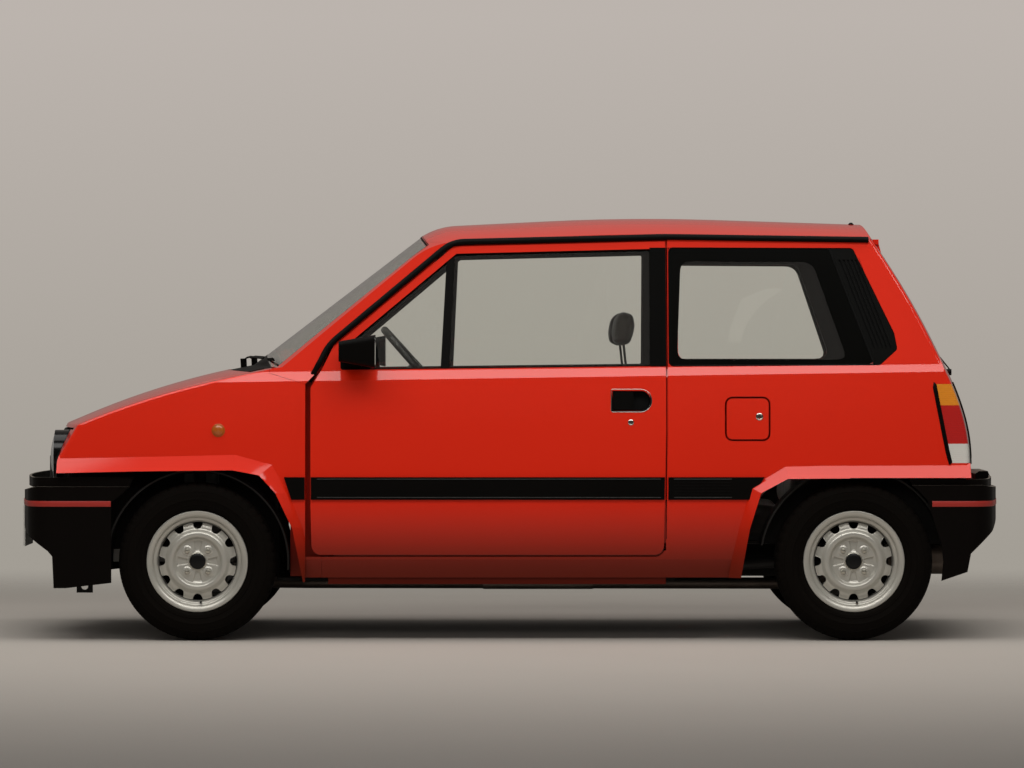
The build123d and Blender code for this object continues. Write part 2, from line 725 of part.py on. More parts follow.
def make_fender():
    """Left front wing: side skin, top edge beside the bonnet, and the wheel arch."""
    zone = loop([(-1700, 558), (DOOR_FRONT_X - GAP, 558), (DOOR_FRONT_X - GAP, 867), (-813, 904),
                 (-813, 1000), (-1700, 1000)])
    low = loop([(-1150, 600), (-1150, SILL_Z - 5), (SILL_FRONT_X - 1, SILL_Z - 5),
                (SILL_FRONT_X - 1, DOOR_FOOT_Z - GAP),
                (DOOR_FRONT_X - GAP, DOOR_FOOT_Z - GAP), (DOOR_FRONT_X - GAP, 600)])
    skin = layer(side_prism(zone + low, 560, 900), 0, SKIN)
    skin += (flare(FRONT_AXLE_X, ARCH_FRONT, FLARE_FRONT) & block(-1530, DOOR_FRONT_X - GAP, -1000, 0, 200,
            700)) - envelope(SKIN)
    skin -= side_prism(loop(ARCH_FRONT, ARCH_R), 500)
    skin -= hood_zone(GAP)
    skin -= cowl_room(HOOD_SIDE_IN - 1)
    skin -= block(-1200, SILL_FRONT_X, -690, 0, 0, 300)
    skin -= door_opening()
    skin -= nose_zone(1.0)
    skin -= rod((-1800, -LAMP_Y, LAMP_Z), (-1480, -LAMP_Y, LAMP_Z), LAMP_R + LAMP_RIM + 1)
    skin -= block(-1800, -1380, -900, 0, 0, 561)
    skin -= rod((MARKER_X, -600, MARKER_Z), (MARKER_X, -900, MARKER_Z), MARKER_R + 0.4)
    return main_piece(skin)


def nose_zone(grow=0.0):
    """What the grille and the lamps fill: the nose ahead of the wings and below the bonnet."""
    face = loop([(-1800, HOOD_FRONT_Z + grow), (-1490 + grow, HOOD_FRONT_Z + grow), (-1517 + grow, 660),
                 (-1530 + grow, 609),
                 (-1535 + grow, 555), (-1535 + grow, 480), (-1800, 480)])
    return across(face)


def make_hood():
    """Bonnet: outer skin, a pressed frame round its underside and two hinge arms."""
    zone = hood_zone()
    skin = layer(zone, 0, SKIN)
    ring = hood_zone(-22) - hood_zone(-100)
    frame = layer(ring & block(-1800, -600, -1000, 1000, HOOD_FRONT_Z + 30, 1100), SKIN, HOOD_T)
    hood = skin + frame
    for y in (-HOOD_HINGE_Y, HOOD_HINGE_Y):
        hood += rod((HOOD_HINGE_X, y - 6, HOOD_HINGE_Z), (HOOD_HINGE_X, y + 6, HOOD_HINGE_Z), 11)
        arm = loop([(HOOD_HINGE_X, HOOD_HINGE_Z - 7), (HOOD_HINGE_X, HOOD_HINGE_Z + 7), (-945, 909),
                    (-975, 905),
                    (-975, 886), (-940, HOOD_HINGE_Z - 9)])
        hood += (extrude(Plane((0, y + 6, 0), x_dir=(1, 0, 0), z_dir=(0, -1, 0)) * arm,
                         12)) & envelope(SKIN - 1)
        hood -= rod((HOOD_HINGE_X, y - 20, HOOD_HINGE_Z), (HOOD_HINGE_X, y + 20, HOOD_HINGE_Z),
                    HOOD_PIN_R + PIN_CLEAR)
    return main_piece(hood)


def make_cowl():
    """Black cowl panel between bonnet and windscreen, notched for the bonnet hinges."""
    disc = plan_prism(Pos(COWL_X + COWL_PLAN_R, 0) * Circle(COWL_PLAN_R - COWL_GAP), 400, 1200)
    foot = screen_prism() + block(-700, 0, -1000, 1000, 0, 2000)
    panel = layer(disc & between_sides(block(-1100, -600, -1000, 1000, 860, 1100), HOOD_SIDE_IN), 2, 12)
    panel = panel - foot - side_prism(loop([(-812, 905), (-690, 868), (-300, 868), (-214, 1345),
                                            (-900, 1100)]), 655)
    panel -= flipped(side_prism(loop([(-812, 905), (-690, 868), (-300, 868), (-214, 1345), (-900, 1100)]),
                                655))
    for y in (-HOOD_HINGE_Y, HOOD_HINGE_Y):
        panel -= block(-1000, HOOD_HINGE_X + 16, y - 17, y + 17, 800, 1000)
    for foot, tip in wiper_spindles():
        panel -= rod(foot, tip, WIPER_BOSS_R + FIT)
    return main_piece(panel)


def wiper_spindles():
    """Foot and tip of the two windscreen wiper spindles."""
    return [((x, y, 870 + FIT), (x - 4, y, 953)) for x, y in ((-925, -80), (-905, 330))]


def make_bulkhead():
    """Firewall with the shelf that carries the cowl and the bonnet hinges."""
    wall = block(BULKHEAD_X - 8, BULKHEAD_X, -PILLAR_IN_Y + FIT, PILLAR_IN_Y - FIT, 300, 897)
    wall += block(BULKHEAD_X - 8, BULKHEAD_X, -PILLAR_IN_Y + FIT, PILLAR_IN_Y - FIT, FLOOR_Z, 300)
    wall += block(-890, BULKHEAD_X, -PILLAR_IN_Y + FIT, PILLAR_IN_Y - FIT, 862, 870)
    wall += block(-884, -876, -400, 400, 866, 990) & envelope(12 + FIT)
    for side in (-1, 1):
        for dy in (-10, 10):
            y = side * HOOD_HINGE_Y + dy
            y0, y1 = (y - 7, y) if dy < 0 else (y, y + 7)
            wall += block(HOOD_HINGE_X - 9, HOOD_HINGE_X + 9, y0, y1, 866, HOOD_HINGE_Z + 8)
        wall += block(-890, BULKHEAD_X, min(side * 500, side * 635), max(side * 500, side * 635), 862, 870)
        wall += rod((HOOD_HINGE_X, side * HOOD_HINGE_Y - 17, HOOD_HINGE_Z),
                    (HOOD_HINGE_X, side * HOOD_HINGE_Y + 17, HOOD_HINGE_Z), HOOD_PIN_R)
    for side in (-1, 1):
        wall -= rod((FRONT_AXLE_X, side * (INNER_Y - 1), TYRE_R), (FRONT_AXLE_X, side * 700, TYRE_R),
                    LINER_R + 6 + FIT)
    return main_piece(wall)


def make_windscreen():
    pane = layer(screen_prism(-1.0), GLASS_IN, GLASS_IN + GLASS_T)
    return main_piece(pane)


def make_tailgate():
    """Tailgate: skin, inner frame, window opening and two hinge knuckles under the roof edge."""
    gate = layer(tail_prism(tailgate_face()), 0, SKIN)
    gate += layer(tail_prism(tailgate_face(-DOOR_BOX_IN)), SKIN, TAILGATE_T)
    gate -= tail_prism(back_window_face(-GLASS_LAP))
    gate -= tail_prism(back_window_face()) - envelope(GLASS_SEAT)
    for y in (-GATE_HINGE_Y, GATE_HINGE_Y):
        gate += rod((GATE_HINGE_X, y - 18, GATE_HINGE_Z), (GATE_HINGE_X, y + 18, GATE_HINGE_Z),
                    GATE_KNUCKLE_R)
        web = loop([(GATE_HINGE_X - 6, GATE_HINGE_Z), (GATE_HINGE_X + 6, GATE_HINGE_Z),
                    (GATE_HINGE_X + 16, TAILGATE_TOP_Z - 24),
                    (GATE_HINGE_X - 14, TAILGATE_TOP_Z - 24)])
        gate += extrude(Plane((0, y + 18, 0), x_dir=(1, 0, 0), z_dir=(0, -1, 0)) * web, 36) - envelope(SKIN)
        gate -= rod((GATE_HINGE_X, y - 30, GATE_HINGE_Z), (GATE_HINGE_X, y + 30, GATE_HINGE_Z),
                    GATE_PIN_R + PIN_CLEAR)
    return main_piece(gate)


def gate_hinge_leaves():
    """Roof side of the tailgate hinges."""
    out = None
    for y in (-GATE_HINGE_Y, GATE_HINGE_Y):
        leaf = rod((GATE_HINGE_X, y - 26, GATE_HINGE_Z), (GATE_HINGE_X, y + 26, GATE_HINGE_Z), GATE_PIN_R)
        for y0 in (y - 26, y + 19):
            leaf += block(GATE_HINGE_X - 24, GATE_HINGE_X + 6, y0, y0 + 7, GATE_HINGE_Z - 6,
                          GATE_HINGE_Z + 12)
        out = leaf if out is None else out + leaf
    return out


def make_back_glass():
    return main_piece(layer(tail_prism(back_window_face(-1.0)), GLASS_IN, GLASS_IN + GLASS_T))


def make_rear_wiper():
    """Rear wiper: spindle cap on the tailgate below the window."""
    return rod((1500, -60, 905), (1545, -60, 905), WIPER_BOSS_R) - envelope(-FIT)


def make_quarter_glass():
    zone = offset(quarter_face(), -1.0) & loop([(500, 900), (VENT_LOW_X - 3, 900), (VENT_HIGH_X - 3, 1360),
                                                (500, 1360)])
    return main_piece(layer(side_prism(zone, 450, 900), GLASS_IN, GLASS_IN + GLASS_T))


def make_vent():
    """Pillar air outlet behind the quarter window: a plate with slanted slats."""
    zone = offset(quarter_face(), -1.0) - loop([(500, 900), (VENT_LOW_X, 900), (VENT_HIGH_X, 1360),
                                                (500, 1360)])
    for slot in range(VENT_SLOTS):
        x = VENT_SLOT_W * (2 * slot + 2)
        low, high = VENT_LOW_X + x - VENT_LEAN * (VENT_SLOT_LOW_Z
                                                  - 900), VENT_LOW_X + x - VENT_LEAN * (VENT_SLOT_HIGH_Z
                                                  - 900)
        zone -= loop([(low, VENT_SLOT_LOW_Z), (low + VENT_SLOT_W, VENT_SLOT_LOW_Z),
                      (high + VENT_SLOT_W, VENT_SLOT_HIGH_Z), (high, VENT_SLOT_HIGH_Z)])
    return main_piece(layer(side_prism(zone, 450, 900), GLASS_IN, GLASS_IN + GLASS_T))


def make_drip_rail():
    """Left drip rail, from the foot of the windscreen pillar along the roof edge."""
    band = under_rail(RAIL_W / 2) - under_rail(-RAIL_W / 2)
    band = band & loop([(-662, 934), (-600, 934), (0, 1200), (1226, 1200), (1226, 1500), (-900, 1500)])
    return main_piece(layer(side_prism(band, 450, 900), -RAIL_PROUD, -FIT))


def make_body_mouldings():
    """Left side moulding on the wing and on the quarter panel."""
    front = loop([(-737, MOULD_LOW_Z), (DOOR_FRONT_X - GAP - 1, MOULD_LOW_Z),
                  (DOOR_FRONT_X - GAP - 1, MOULD_HIGH_Z), (-762, MOULD_HIGH_Z)])
    rear = loop([(DOOR_REAR_X + GAP + 1, MOULD_LOW_Z), (818, MOULD_LOW_Z), (862, MOULD_HIGH_Z),
                 (DOOR_REAR_X + GAP + 1, MOULD_HIGH_Z)])
    flares = flare(FRONT_AXLE_X, ARCH_FRONT, FLARE_FRONT) + flare(REAR_AXLE_X, ARCH_REAR, FLARE_REAR)
    return [main_piece(layer(side_prism(face, 450, 900), -MOULD_PROUD, -FIT) - flares)
            for face in (front, rear)]


def make_fuel_flap():
    """Fuel filler flap on its goose-neck hinge, left quarter."""
    flap = layer(side_prism(fuel_face(), 600, 900), 0, FUEL_T)
    x0, y0 = FUEL_HINGE_X, -FUEL_HINGE_Y
    z0, z1 = FUEL_Z - 9, FUEL_Z + 9
    deep = y0 + NECK_REACH
    neck = block(x0 - 4, x0 + 4, y0, deep, z0, z1)
    neck += block(x0 - 4, x0 + 46, deep - NECK_T, deep, z0, z1)
    neck += block(x0 + 46 - NECK_T, x0 + 46, -HALF_WIDTH, deep, z0, z1) & envelope(FUEL_T - 1)
    flap = flap + neck + rod((x0, y0, z0), (x0, y0, z1), 6.5)
    flap -= rod((x0, y0, z0 - 5), (x0, y0, z1 + 5), FUEL_PIN_R + PIN_CLEAR)
    return main_piece(flap)


def make_fuel_pocket():
    """Pocket behind the fuel flap, with the pin it hinges on and the filler cap."""
    x0, y0 = FUEL_HINGE_X, -FUEL_HINGE_Y
    left, right = FUEL_HINGE_X - 22, FUEL_REAR_X + 10
    low, high = FUEL_LOW_Z - 10, FUEL_TOP_Z + 10
    outer = block(left, right, -HALF_WIDTH, -FUEL_BACK_Y, low, high)
    inner = block(left + 4, right - 4, -HALF_WIDTH - 1, -FUEL_BACK_Y - 4, low + 4, high - 4)
    pocket = (outer - inner) & envelope(SKIN + FIT)
    for z in (FUEL_Z - 9 - 8, FUEL_Z + 10):
        pocket += block(left, x0 + 4, y0 - 3.5, y0 + 5, z, z + 7)
    pocket += rod((x0, y0, FUEL_Z - 15), (x0, y0, FUEL_Z + 15), FUEL_PIN_R)
    pocket += rod((806, -FUEL_BACK_Y - 2, FUEL_Z), (806, -FUEL_BACK_Y - 26, FUEL_Z), 30)
    return main_piece(pocket)


# ================================================================ nose, tail and bumpers
def bumper_plan(face_x, end_x, half, corner_r, bow):
    """Plan of a bumper: bowed face, rounded corners, straight ends."""
    sign = -1 if face_x < 0 else 1
    corner_x = face_x - sign * bow
    edges = Polyline((corner_x, half - 12), (end_x, half), (end_x, -half), (corner_x, 12 - half))
    edges += ThreePointArc((corner_x, 12 - half), (face_x, 0), (corner_x, half - 12))
    face = make_face(edges)
    corners = face.vertices().sort_by(Axis.X)
    return fillet(corners[:2] if sign < 0 else corners[-2:], corner_r)


def make_front_bumper():
    """Moulded front bumper and valance, one shell round the nose, on two brackets."""
    plan = bumper_plan(FRONT_BUMPER_X, -1200, BUMPER_HALF, 90, 62)
    outline = loop([(-1760, 478), (-1684, 499), (-1600, 521), (-1284, 521), (-1307, 498), (-1345, 468),
                    (-1345, 196),
                    (-1500, 178), (-1540, 178), (-1545, 285), (-1560, 303), (-1672, 384), (-1760, 440)])
    solid = plan_prism(plan, 100, 640) & across(outline)
    hollow_outline = loop([(-1760, 440), (-1668, 484), (-1600, 510), (-1100, 510), (-1100, 100),
                           (-1530, 100), (-1530, 292),
                           (-1550, 312), (-1660, 392)])
    hollow = plan_prism(offset(plan, -BUMPER_T), 100, 640) & across(hollow_outline)
    bumper = solid - hollow - envelope(26)
    riser = loop([(-1700, 520), (-1700, 552), (-1270, 552), (-1285, 520)])
    riser_plan = offset(plan, -16) - offset(plan, -24)
    bumper += plan_prism(riser_plan, 510, 552) & across(riser)
    for y in (-420, 420):
        bumper += block(-1662, FRONT_PANEL_X - 8.3, y - 30, y + 30, 400,
                        440) & plan_prism(offset(plan, -4), 100, 640)
    return main_piece(bumper)


def make_rear_bumper():
    """Moulded rear bumper with the plate-lamp housing on its top."""
    plan = bumper_plan(REAR_BUMPER_X, 1320, BUMPER_HALF, 90, 62)
    outline = loop([(1760, 500), (1690, 510), (1600, 526), (1360, 526), (1379, 510), (1412, 476),
                    (1436, 400), (1459, 330), (1466, 268), (1460, 203),
                    (1548, 233), (1560, 295), (1690, 420), (1760, 450)])
    solid = plan_prism(plan, 100, 640) & across(outline)
    hollow_outline = loop([(1760, 490), (1600, 515), (1300, 515), (1300, 100), (1534, 100), (1534, 236),
                           (1546, 300), (1676, 430)])
    bumper = solid - (plan_prism(offset(plan, -BUMPER_T), 100, 640) & across(hollow_outline))
    riser_plan = offset(plan, -16) - offset(plan, -24)
    bumper += plan_prism(riser_plan, 515,
                         546) & across(loop([(1366, 520), (1352, 546), (1700, 546), (1700, 520)]))
    housing = across(loop([(1619, 515), (1619, 553), (1632, 562), (1662, 562), (1672, 540), (1672, 505)]),
                     190)
    bumper += housing
    for y in (-420, 420):
        bumper += block(1560, 1670, y - 30, y + 30, 440, 480) & plan_prism(offset(plan, -4), 100, 640)
    return main_piece(bumper - envelope(-FIT) & block(1300, 1800, -900, 900, 100, 640))


def make_front_panel():
    """Radiator support: the upright frame that joins the inner wings and carries lamps and bumper."""
    wall = block(FRONT_PANEL_X - 8, FRONT_PANEL_X, -690, 690, 240, 700) & envelope(SKIN + 2)
    wall -= block(-1700, -1300, -RADIATOR_HALF, RADIATOR_HALF, 290, 640)
    for y in (-LAMP_Y, LAMP_Y):
        wall -= rod((-1700, y, LAMP_Z), (-1300, y, LAMP_Z), 60)
    eye_x, eye_y, eye_z = TOW_EYE
    wall += block(eye_x - 28, eye_x + 28, eye_y - TOW_EYE_T / 2, eye_y + TOW_EYE_T / 2, eye_z - 22, 260)
    wall -= rod((eye_x, eye_y - 30, eye_z), (eye_x, eye_y + 30, eye_z), TOW_EYE_R)
    return main_piece(wall)


def make_grille():
    """Black nose panel: round lamp openings and a slatted air intake between them."""
    panel = layer(nose_zone() & block(-1800, -1400, -900, 900, GRILLE_LOW_Z, HOOD_FRONT_Z - GAP), 0,
                  GRILLE_T)
    window = extrude(Plane((-1800, 0, GRILLE_Z), x_dir=(0, 1, 0),
                           z_dir=(1, 0, 0)) * RectangleRounded(2 * GRILLE_HALF, GRILLE_H, 12), 400)
    panel -= window
    pitch = GRILLE_H / (SLATS + 1)
    slats = None
    for i in range(SLATS):
        z = GRILLE_Z - GRILLE_H / 2 + (i + 1) * pitch
        slat = block(-1800, -1400, -GRILLE_HALF - 1, GRILLE_HALF + 1, z - 3, z + 3)
        slats = slat if slats is None else slats + slat
    for y in (-GRILLE_HALF / 2, 0, GRILLE_HALF / 2):
        slats += block(-1800, -1400, y - 3, y + 3, GRILLE_Z - GRILLE_H / 2 - 1, GRILLE_Z + GRILLE_H / 2 + 1)
    panel += layer(slats, 6, GRILLE_T)
    for y in (-LAMP_Y, LAMP_Y):
        panel -= rod((-1800, y, LAMP_Z), (-1300, y, LAMP_Z), LAMP_R + LAMP_RIM)
    return main_piece(panel)


def make_headlight():
    """Left round headlight: domed lens, bezel and bucket."""
    x = lamp_face_x()
    bucket = rod((x + 6, -LAMP_Y, LAMP_Z), (FRONT_PANEL_X - 8.3, -LAMP_Y, LAMP_Z), LAMP_R + LAMP_RIM - FIT)
    dome_r = (LAMP_R**2 + LAMP_DOME**2) / (2 * LAMP_DOME)
    dome = Pos(x + 6 - LAMP_DOME + dome_r, -LAMP_Y, LAMP_Z) * Sphere(dome_r)
    lens = dome & rod((x - 20, -LAMP_Y, LAMP_Z), (x + 8, -LAMP_Y, LAMP_Z), LAMP_R)
    return main_piece((bucket - rod((x - 20, -LAMP_Y, LAMP_Z), (x + 7, -LAMP_Y, LAMP_Z), LAMP_R)) + lens)


def lamp_face_x():
    """Where the nose surface lies at the middle of a headlight."""
    return NOSE_X + LAMP_Y**2 / (2 * NOSE_PLAN_R) + 4


def make_tail_panel():
    half = [(702, 345), (702, QUARTER_FOOT_Z), (TAILGATE_LOW_HALF - 1, QUARTER_FOOT_Z),
            (TAILGATE_LOW_HALF - 1, TAILGATE_FOOT_Z + 20)]
    face = loop(half + [(-y, z) for y, z in reversed(half)])
    wall = layer(tail_prism(face) & block(1380, 1800, -900, 900, 0, 700), 0, TAIL_PANEL_T)
    return main_piece(wall - tailgate_opening())


def make_tail_lamp():
    """Left tail lamp: amber, red and clear chambers in one moulding round the corner."""
    return main_piece(layer(lamp_cut(-FIT), 0, LAMP_DEPTH))


# ================================================================ floor and inner structure
def make_floor():
    """Floor pan with its tunnel, the kick-up over the tank and the luggage floor."""
    line = [(BULKHEAD_X + FIT, FLOOR_Z), (KICK_X, FLOOR_Z), (KICK_X + 70, BOOT_Z), (1560, BOOT_Z),
            (1560, BOOT_Z + FLOOR_T),
            (KICK_X + 62, BOOT_Z + FLOOR_T), (KICK_X - 8, FLOOR_Z + FLOOR_T),
            (BULKHEAD_X + FIT, FLOOR_Z + FLOOR_T)]
    wide = across(loop(line), FLOOR_HALF)
    front = block(-2000, DOOR_REAR_X, -FLOOR_HALF, FLOOR_HALF, 0, 600)
    rear = block(DOOR_REAR_X - 20, 2000, -HOUSE_IN_Y + FIT, HOUSE_IN_Y - FIT, 0, 600)
    pan = (wide & (front + rear)) - (block(1400, 1800, -900, 900, 0, 600) - envelope(TAIL_PANEL_T + FIT))
    hump = Plane.YZ * make_face(Polyline((-90, FLOOR_Z), (-60, FLOOR_Z + 85), (60, FLOOR_Z + 85),
                                         (90, FLOOR_Z), close=True))
    void = Plane.YZ * make_face(Polyline((-80, FLOOR_Z - 1), (-53, FLOOR_Z + 77), (53, FLOOR_Z + 77),
                                         (80, FLOOR_Z - 1), close=True))
    tunnel = Pos(BULKHEAD_X + FIT, 0, 0) * extrude(hump, KICK_X - BULKHEAD_X - 10)
    cavity = Pos(BULKHEAD_X - 5, 0, 0) * extrude(void, KICK_X - BULKHEAD_X - 10)
    return main_piece(pan + tunnel - cavity)


def make_inner_fender():
    """Left inner wing: side wall of the engine bay, arch liner and the strut tower."""
    wall = block(FRONT_PANEL_X + FIT, BULKHEAD_X - 8.3, -INNER_Y - 6, -INNER_Y, 300, 790)
    liner = rod((FRONT_AXLE_X, -INNER_Y, TYRE_R), (FRONT_AXLE_X, -LINER_OUT_Y, TYRE_R), LINER_R + 6)
    liner -= rod((FRONT_AXLE_X, 0, TYRE_R), (FRONT_AXLE_X, -900, TYRE_R), LINER_R)
    liner &= block(-1800, 0, -900, 0, TYRE_R - 30, 900)
    top = (FRONT_AXLE_X, -TOWER_Y, TOWER_TOP_Z)
    tower = rod((FRONT_AXLE_X, -TOWER_Y, TYRE_R + LINER_R - 10), top, TOWER_R + 6)
    inside = rod((FRONT_AXLE_X, -TOWER_Y, 300), (FRONT_AXLE_X, -TOWER_Y, TOWER_TOP_Z - 7), TOWER_R)
    wing = ((wall + tower) & envelope(HOOD_T + GAP)) + (liner & envelope(SKIN + FIT)) - inside
    wing -= block(FRONT_AXLE_X - 60, FRONT_AXLE_X + 60, -INNER_Y - 160, -INNER_Y + 1, 200, 560)
    return main_piece(wing)


def make_wheel_house():
    """Left rear wheel house."""
    shape = rod((REAR_AXLE_X, -HOUSE_IN_Y, TYRE_R), (REAR_AXLE_X, -HOUSE_OUT_Y, TYRE_R), HOUSE_R + 6)
    shape -= rod((REAR_AXLE_X, -HOUSE_IN_Y - 6, TYRE_R), (REAR_AXLE_X, -900, TYRE_R), HOUSE_R)
    shape &= block(0, 1800, -900, 0, BOOT_Z, 900)
    return main_piece(shape & envelope(SKIN + FIT))


def make_dashboard():
    """Dashboard moulding across the car, with the instrument hood on the right."""
    profile = loop([(BULKHEAD_X + FIT, 700), (-620, 690), (-500, 745), (-472, 838), (-545, 892),
                    (BULKHEAD_X + 60, 905), (BULKHEAD_X + FIT, 850)])
    dash = across(profile, DASH_HALF) & envelope(12)
    hood = loop([(-640, 880), (-620, 936), (-520, 930), (-488, 880), (-500, 840)], 8)
    dash += extrude(Plane((0, COLUMN_Y + 170, 0), x_dir=(1, 0, 0), z_dir=(0, -1, 0)) * hood, 340)
    start, end = column_ends()
    return main_piece(dash - rod(start, end, COLUMN_R + FIT) - rod(start, column_point(-600),
            COLUMN_R + FIT))


def column_point(t):
    """A point on the steering axis, t millimetres from the steering wheel's centre, positive rearward."""
    return (WHEEL_CENTRE[0] + t * cos(radians(COLUMN_RAKE)), COLUMN_Y,
            WHEEL_CENTRE[1] + t * sin(radians(COLUMN_RAKE)))


def column_ends():
    return column_point(-34), column_point(-330)


def make_column():
    """Steering column shroud and the shaft end that the steering wheel turns on."""
    start, end = column_ends()
    return main_piece(rod(start, end, COLUMN_R) + rod(column_point(-36), column_point(14), SHAFT_R))


def make_steering_wheel():
    """Two-spoke steering wheel."""
    plane = Plane(origin=column_point(0), x_dir=(0, 1, 0),
                  z_dir=(cos(radians(COLUMN_RAKE)), 0, sin(radians(COLUMN_RAKE))))
    ring = plane * Torus(STEER_R, 13)
    hub = plane * Pos(0, 0, -8) * Cylinder(34, 48)
    bore = plane * Pos(0, 0, -19) * Cylinder(SHAFT_R + PIN_CLEAR, 66)
    spokes = plane * Pos(0, -14, -4) * Box(2 * STEER_R - 10, 34, 12)
    return main_piece(ring + hub + spokes - bore)


def make_seat():
    """Left front seat: runners, cushion, backrest and headrest on two posts."""
    cushion = loop([(-140, 300), (330, 290), (300, 425), (-90, 470), (-150, 420)], 30)
    back = loop([(232, 400), (350, 400), (452, 920), (420, 940), (372, 930)], 20)
    head = loop([(343, 992), (425, 985), (441, 1115), (385, 1126), (352, 1100)], 22)
    y0 = SEAT_Y - SEAT_W / 2
    seat = extrude(Plane((0, -y0, 0), x_dir=(1, 0, 0), z_dir=(0, -1, 0)) * (cushion + back), SEAT_W)
    seat += extrude(Plane((0, -SEAT_Y + 130, 0), x_dir=(1, 0, 0), z_dir=(0, -1, 0)) * head, 260)
    for y in (-SEAT_Y - 60, -SEAT_Y + 60):
        seat += rod((402, y, 900), (392, y, 1010), 6)
    for y in (-SEAT_Y - 190, -SEAT_Y + 170):
        seat += block(-110, 300, y, y + 20, FLOOR_Z + FLOOR_T + FIT, 320)
    return main_piece(seat)


def make_rear_seat():
    """Rear bench."""
    cushion = loop([(650, BOOT_Z + FLOOR_T + FIT), (660, 420), (690, 462), (1000, 440),
                    (1020, BOOT_Z + FLOOR_T + FIT)])
    back = loop([(940, 430), (1050, 400), (1140, 900), (1090, 930), (1040, 900)], 18)
    seat = across(cushion + back, REAR_SEAT_HALF)
    return main_piece(seat & block(640, 1400, -900, 900, 0, 1200))


def make_engine():
    return block(-1400, -1010, -260, 330, 250, 730)


def make_radiator():
    core = block(FRONT_PANEL_X - 30, FRONT_PANEL_X - 8.3, -RADIATOR_HALF - 20, RADIATOR_HALF + 20, 270, 660)
    return core


def make_subframe():
    """Front cross-member with its two lower arms and ball joints, one bolted frame."""
    frame = block(-1130, -980, -330, 330, 176, 228) + block(-1130, -1080, -120, 120, 226, 249.7)
    for side in (-1, 1):
        root, ball_y = side * 310, side * KINGPIN_Y
        arm = make_face(Polyline((FRONT_AXLE_X - 55, root), (FRONT_AXLE_X + 70, root),
                                 (FRONT_AXLE_X + 18, ball_y),
                                 (FRONT_AXLE_X - 18, ball_y), close=True))
        frame += plan_prism(arm, 152, 166)
        frame += block(-1110, -985, min(side * 296, side * 330), max(side * 296, side * 330), 152, 180)
        frame += rod((FRONT_AXLE_X, ball_y, 152), (FRONT_AXLE_X, ball_y, 166), 20)
        frame += rod((FRONT_AXLE_X, ball_y, 160), (FRONT_AXLE_X, ball_y, KNUCKLE_LOW_Z + 26), KINGPIN_R)
    return main_piece(frame)


def make_strut():
    """Left front strut with its spring and the bracket that holds the knuckle's upper pin."""
    x = FRONT_AXLE_X
    strut = rod((x, -STRUT_Y, STRUT_FOOT_Z), (x, -TOWER_Y, TOWER_TOP_Z - 20), STRUT_R)
    strut += rod((x, -TOWER_Y, TOWER_TOP_Z - 50), (x, -TOWER_Y, TOWER_TOP_Z - 7 - FIT), STRUT_R)
    strut += block(x - 15, x + 15, -KINGPIN_Y, -STRUT_Y, STRUT_FOOT_Z, STRUT_FOOT_Z + 14)
    strut += rod((x, -KINGPIN_Y, STRUT_FOOT_Z), (x, -KINGPIN_Y, STRUT_FOOT_Z + 14), 15)
    strut += rod((x, -KINGPIN_Y, STRUT_FOOT_Z + 8), (x, -KINGPIN_Y, KNUCKLE_TOP_Z - 26), KINGPIN_R)
    strut += rod((x, -TOWER_Y - 6, 580), (x, -TOWER_Y, 720), 52)
    return main_piece(strut)


def make_knuckle():
    """Left front knuckle: kingpin post, stub axle and steering arm."""
    x, y = FRONT_AXLE_X, -KINGPIN_Y
    post = rod((x, y, KNUCKLE_LOW_Z), (x, y, KNUCKLE_TOP_Z), 20)
    post += rod((x, y + 30, TYRE_R), (x, y - 22, TYRE_R), 34)
    post += rod((x, y - 20, TYRE_R), (x, -DISC_INNER_Y + 12, TYRE_R), STUB_R)
    post += block(x, x + 110, y + 8, y + 24, 222, 240)
    for z in (KNUCKLE_LOW_Z, KNUCKLE_TOP_Z):
        post -= rod((x, y, z - 27), (x, y, z + 27), KINGPIN_R + PIN_CLEAR)
    return main_piece(post)


def wheel_turned(points, side=-1):
    """A ring turned about the axle; points run outboard of the wheel's middle plane and out from the axle."""
    face = make_face(Polyline(*[(0, side * (WHEEL_PLANE_Y + a), r) for a, r in points], close=True))
    return revolve(face, Axis((0, 0, 0), (0, 1, 0)), 360)


def make_rim():
    """Pressed steel wheel with its hub, left side, on its own axle."""
    t = RIM_WELL_T
    barrel = [(-66, 170), (-61, 170), (-57, 156), (-34, 154), (-22, 146), (14, 146), (26, 154), (57, 156),
              (61, 170), (66, 170),
              (66, 165), (61, 152), (29, 150), (16, 146 - t), (-24, 146 - t), (-37, 150), (-61, 152),
              (-66, 165)]
    disc = [(14, 142), (24, 134), (31, 127), (37, 105), (44, 94), (44, 90), (37, 76), (33, 70), (33, 0),
            (28, 0), (28, 72), (32, 79),
            (38, 90), (38, 93), (32, 103), (26, 124), (19, 131), (9, 141)]
    hub = [(28.5, HUB_R), (-9, HUB_R), (-9, STUB_R + HUB_CLEAR), (24, STUB_R + HUB_CLEAR), (24, 0),
           (28.5, 0)]
    rim = wheel_turned(barrel) + wheel_turned(disc) + wheel_turned(hub)
    for i in range(VENT_HOLES):
        angle = 90 + 360 * i / VENT_HOLES
        x, z = VENT_CIRCLE_R * cos(radians(angle)), VENT_CIRCLE_R * sin(radians(angle))
        rim -= rod((x, -WHEEL_PLANE_Y + 10, z), (x, -WHEEL_PLANE_Y - 70, z), VENT_R)
    return main_piece(rim)


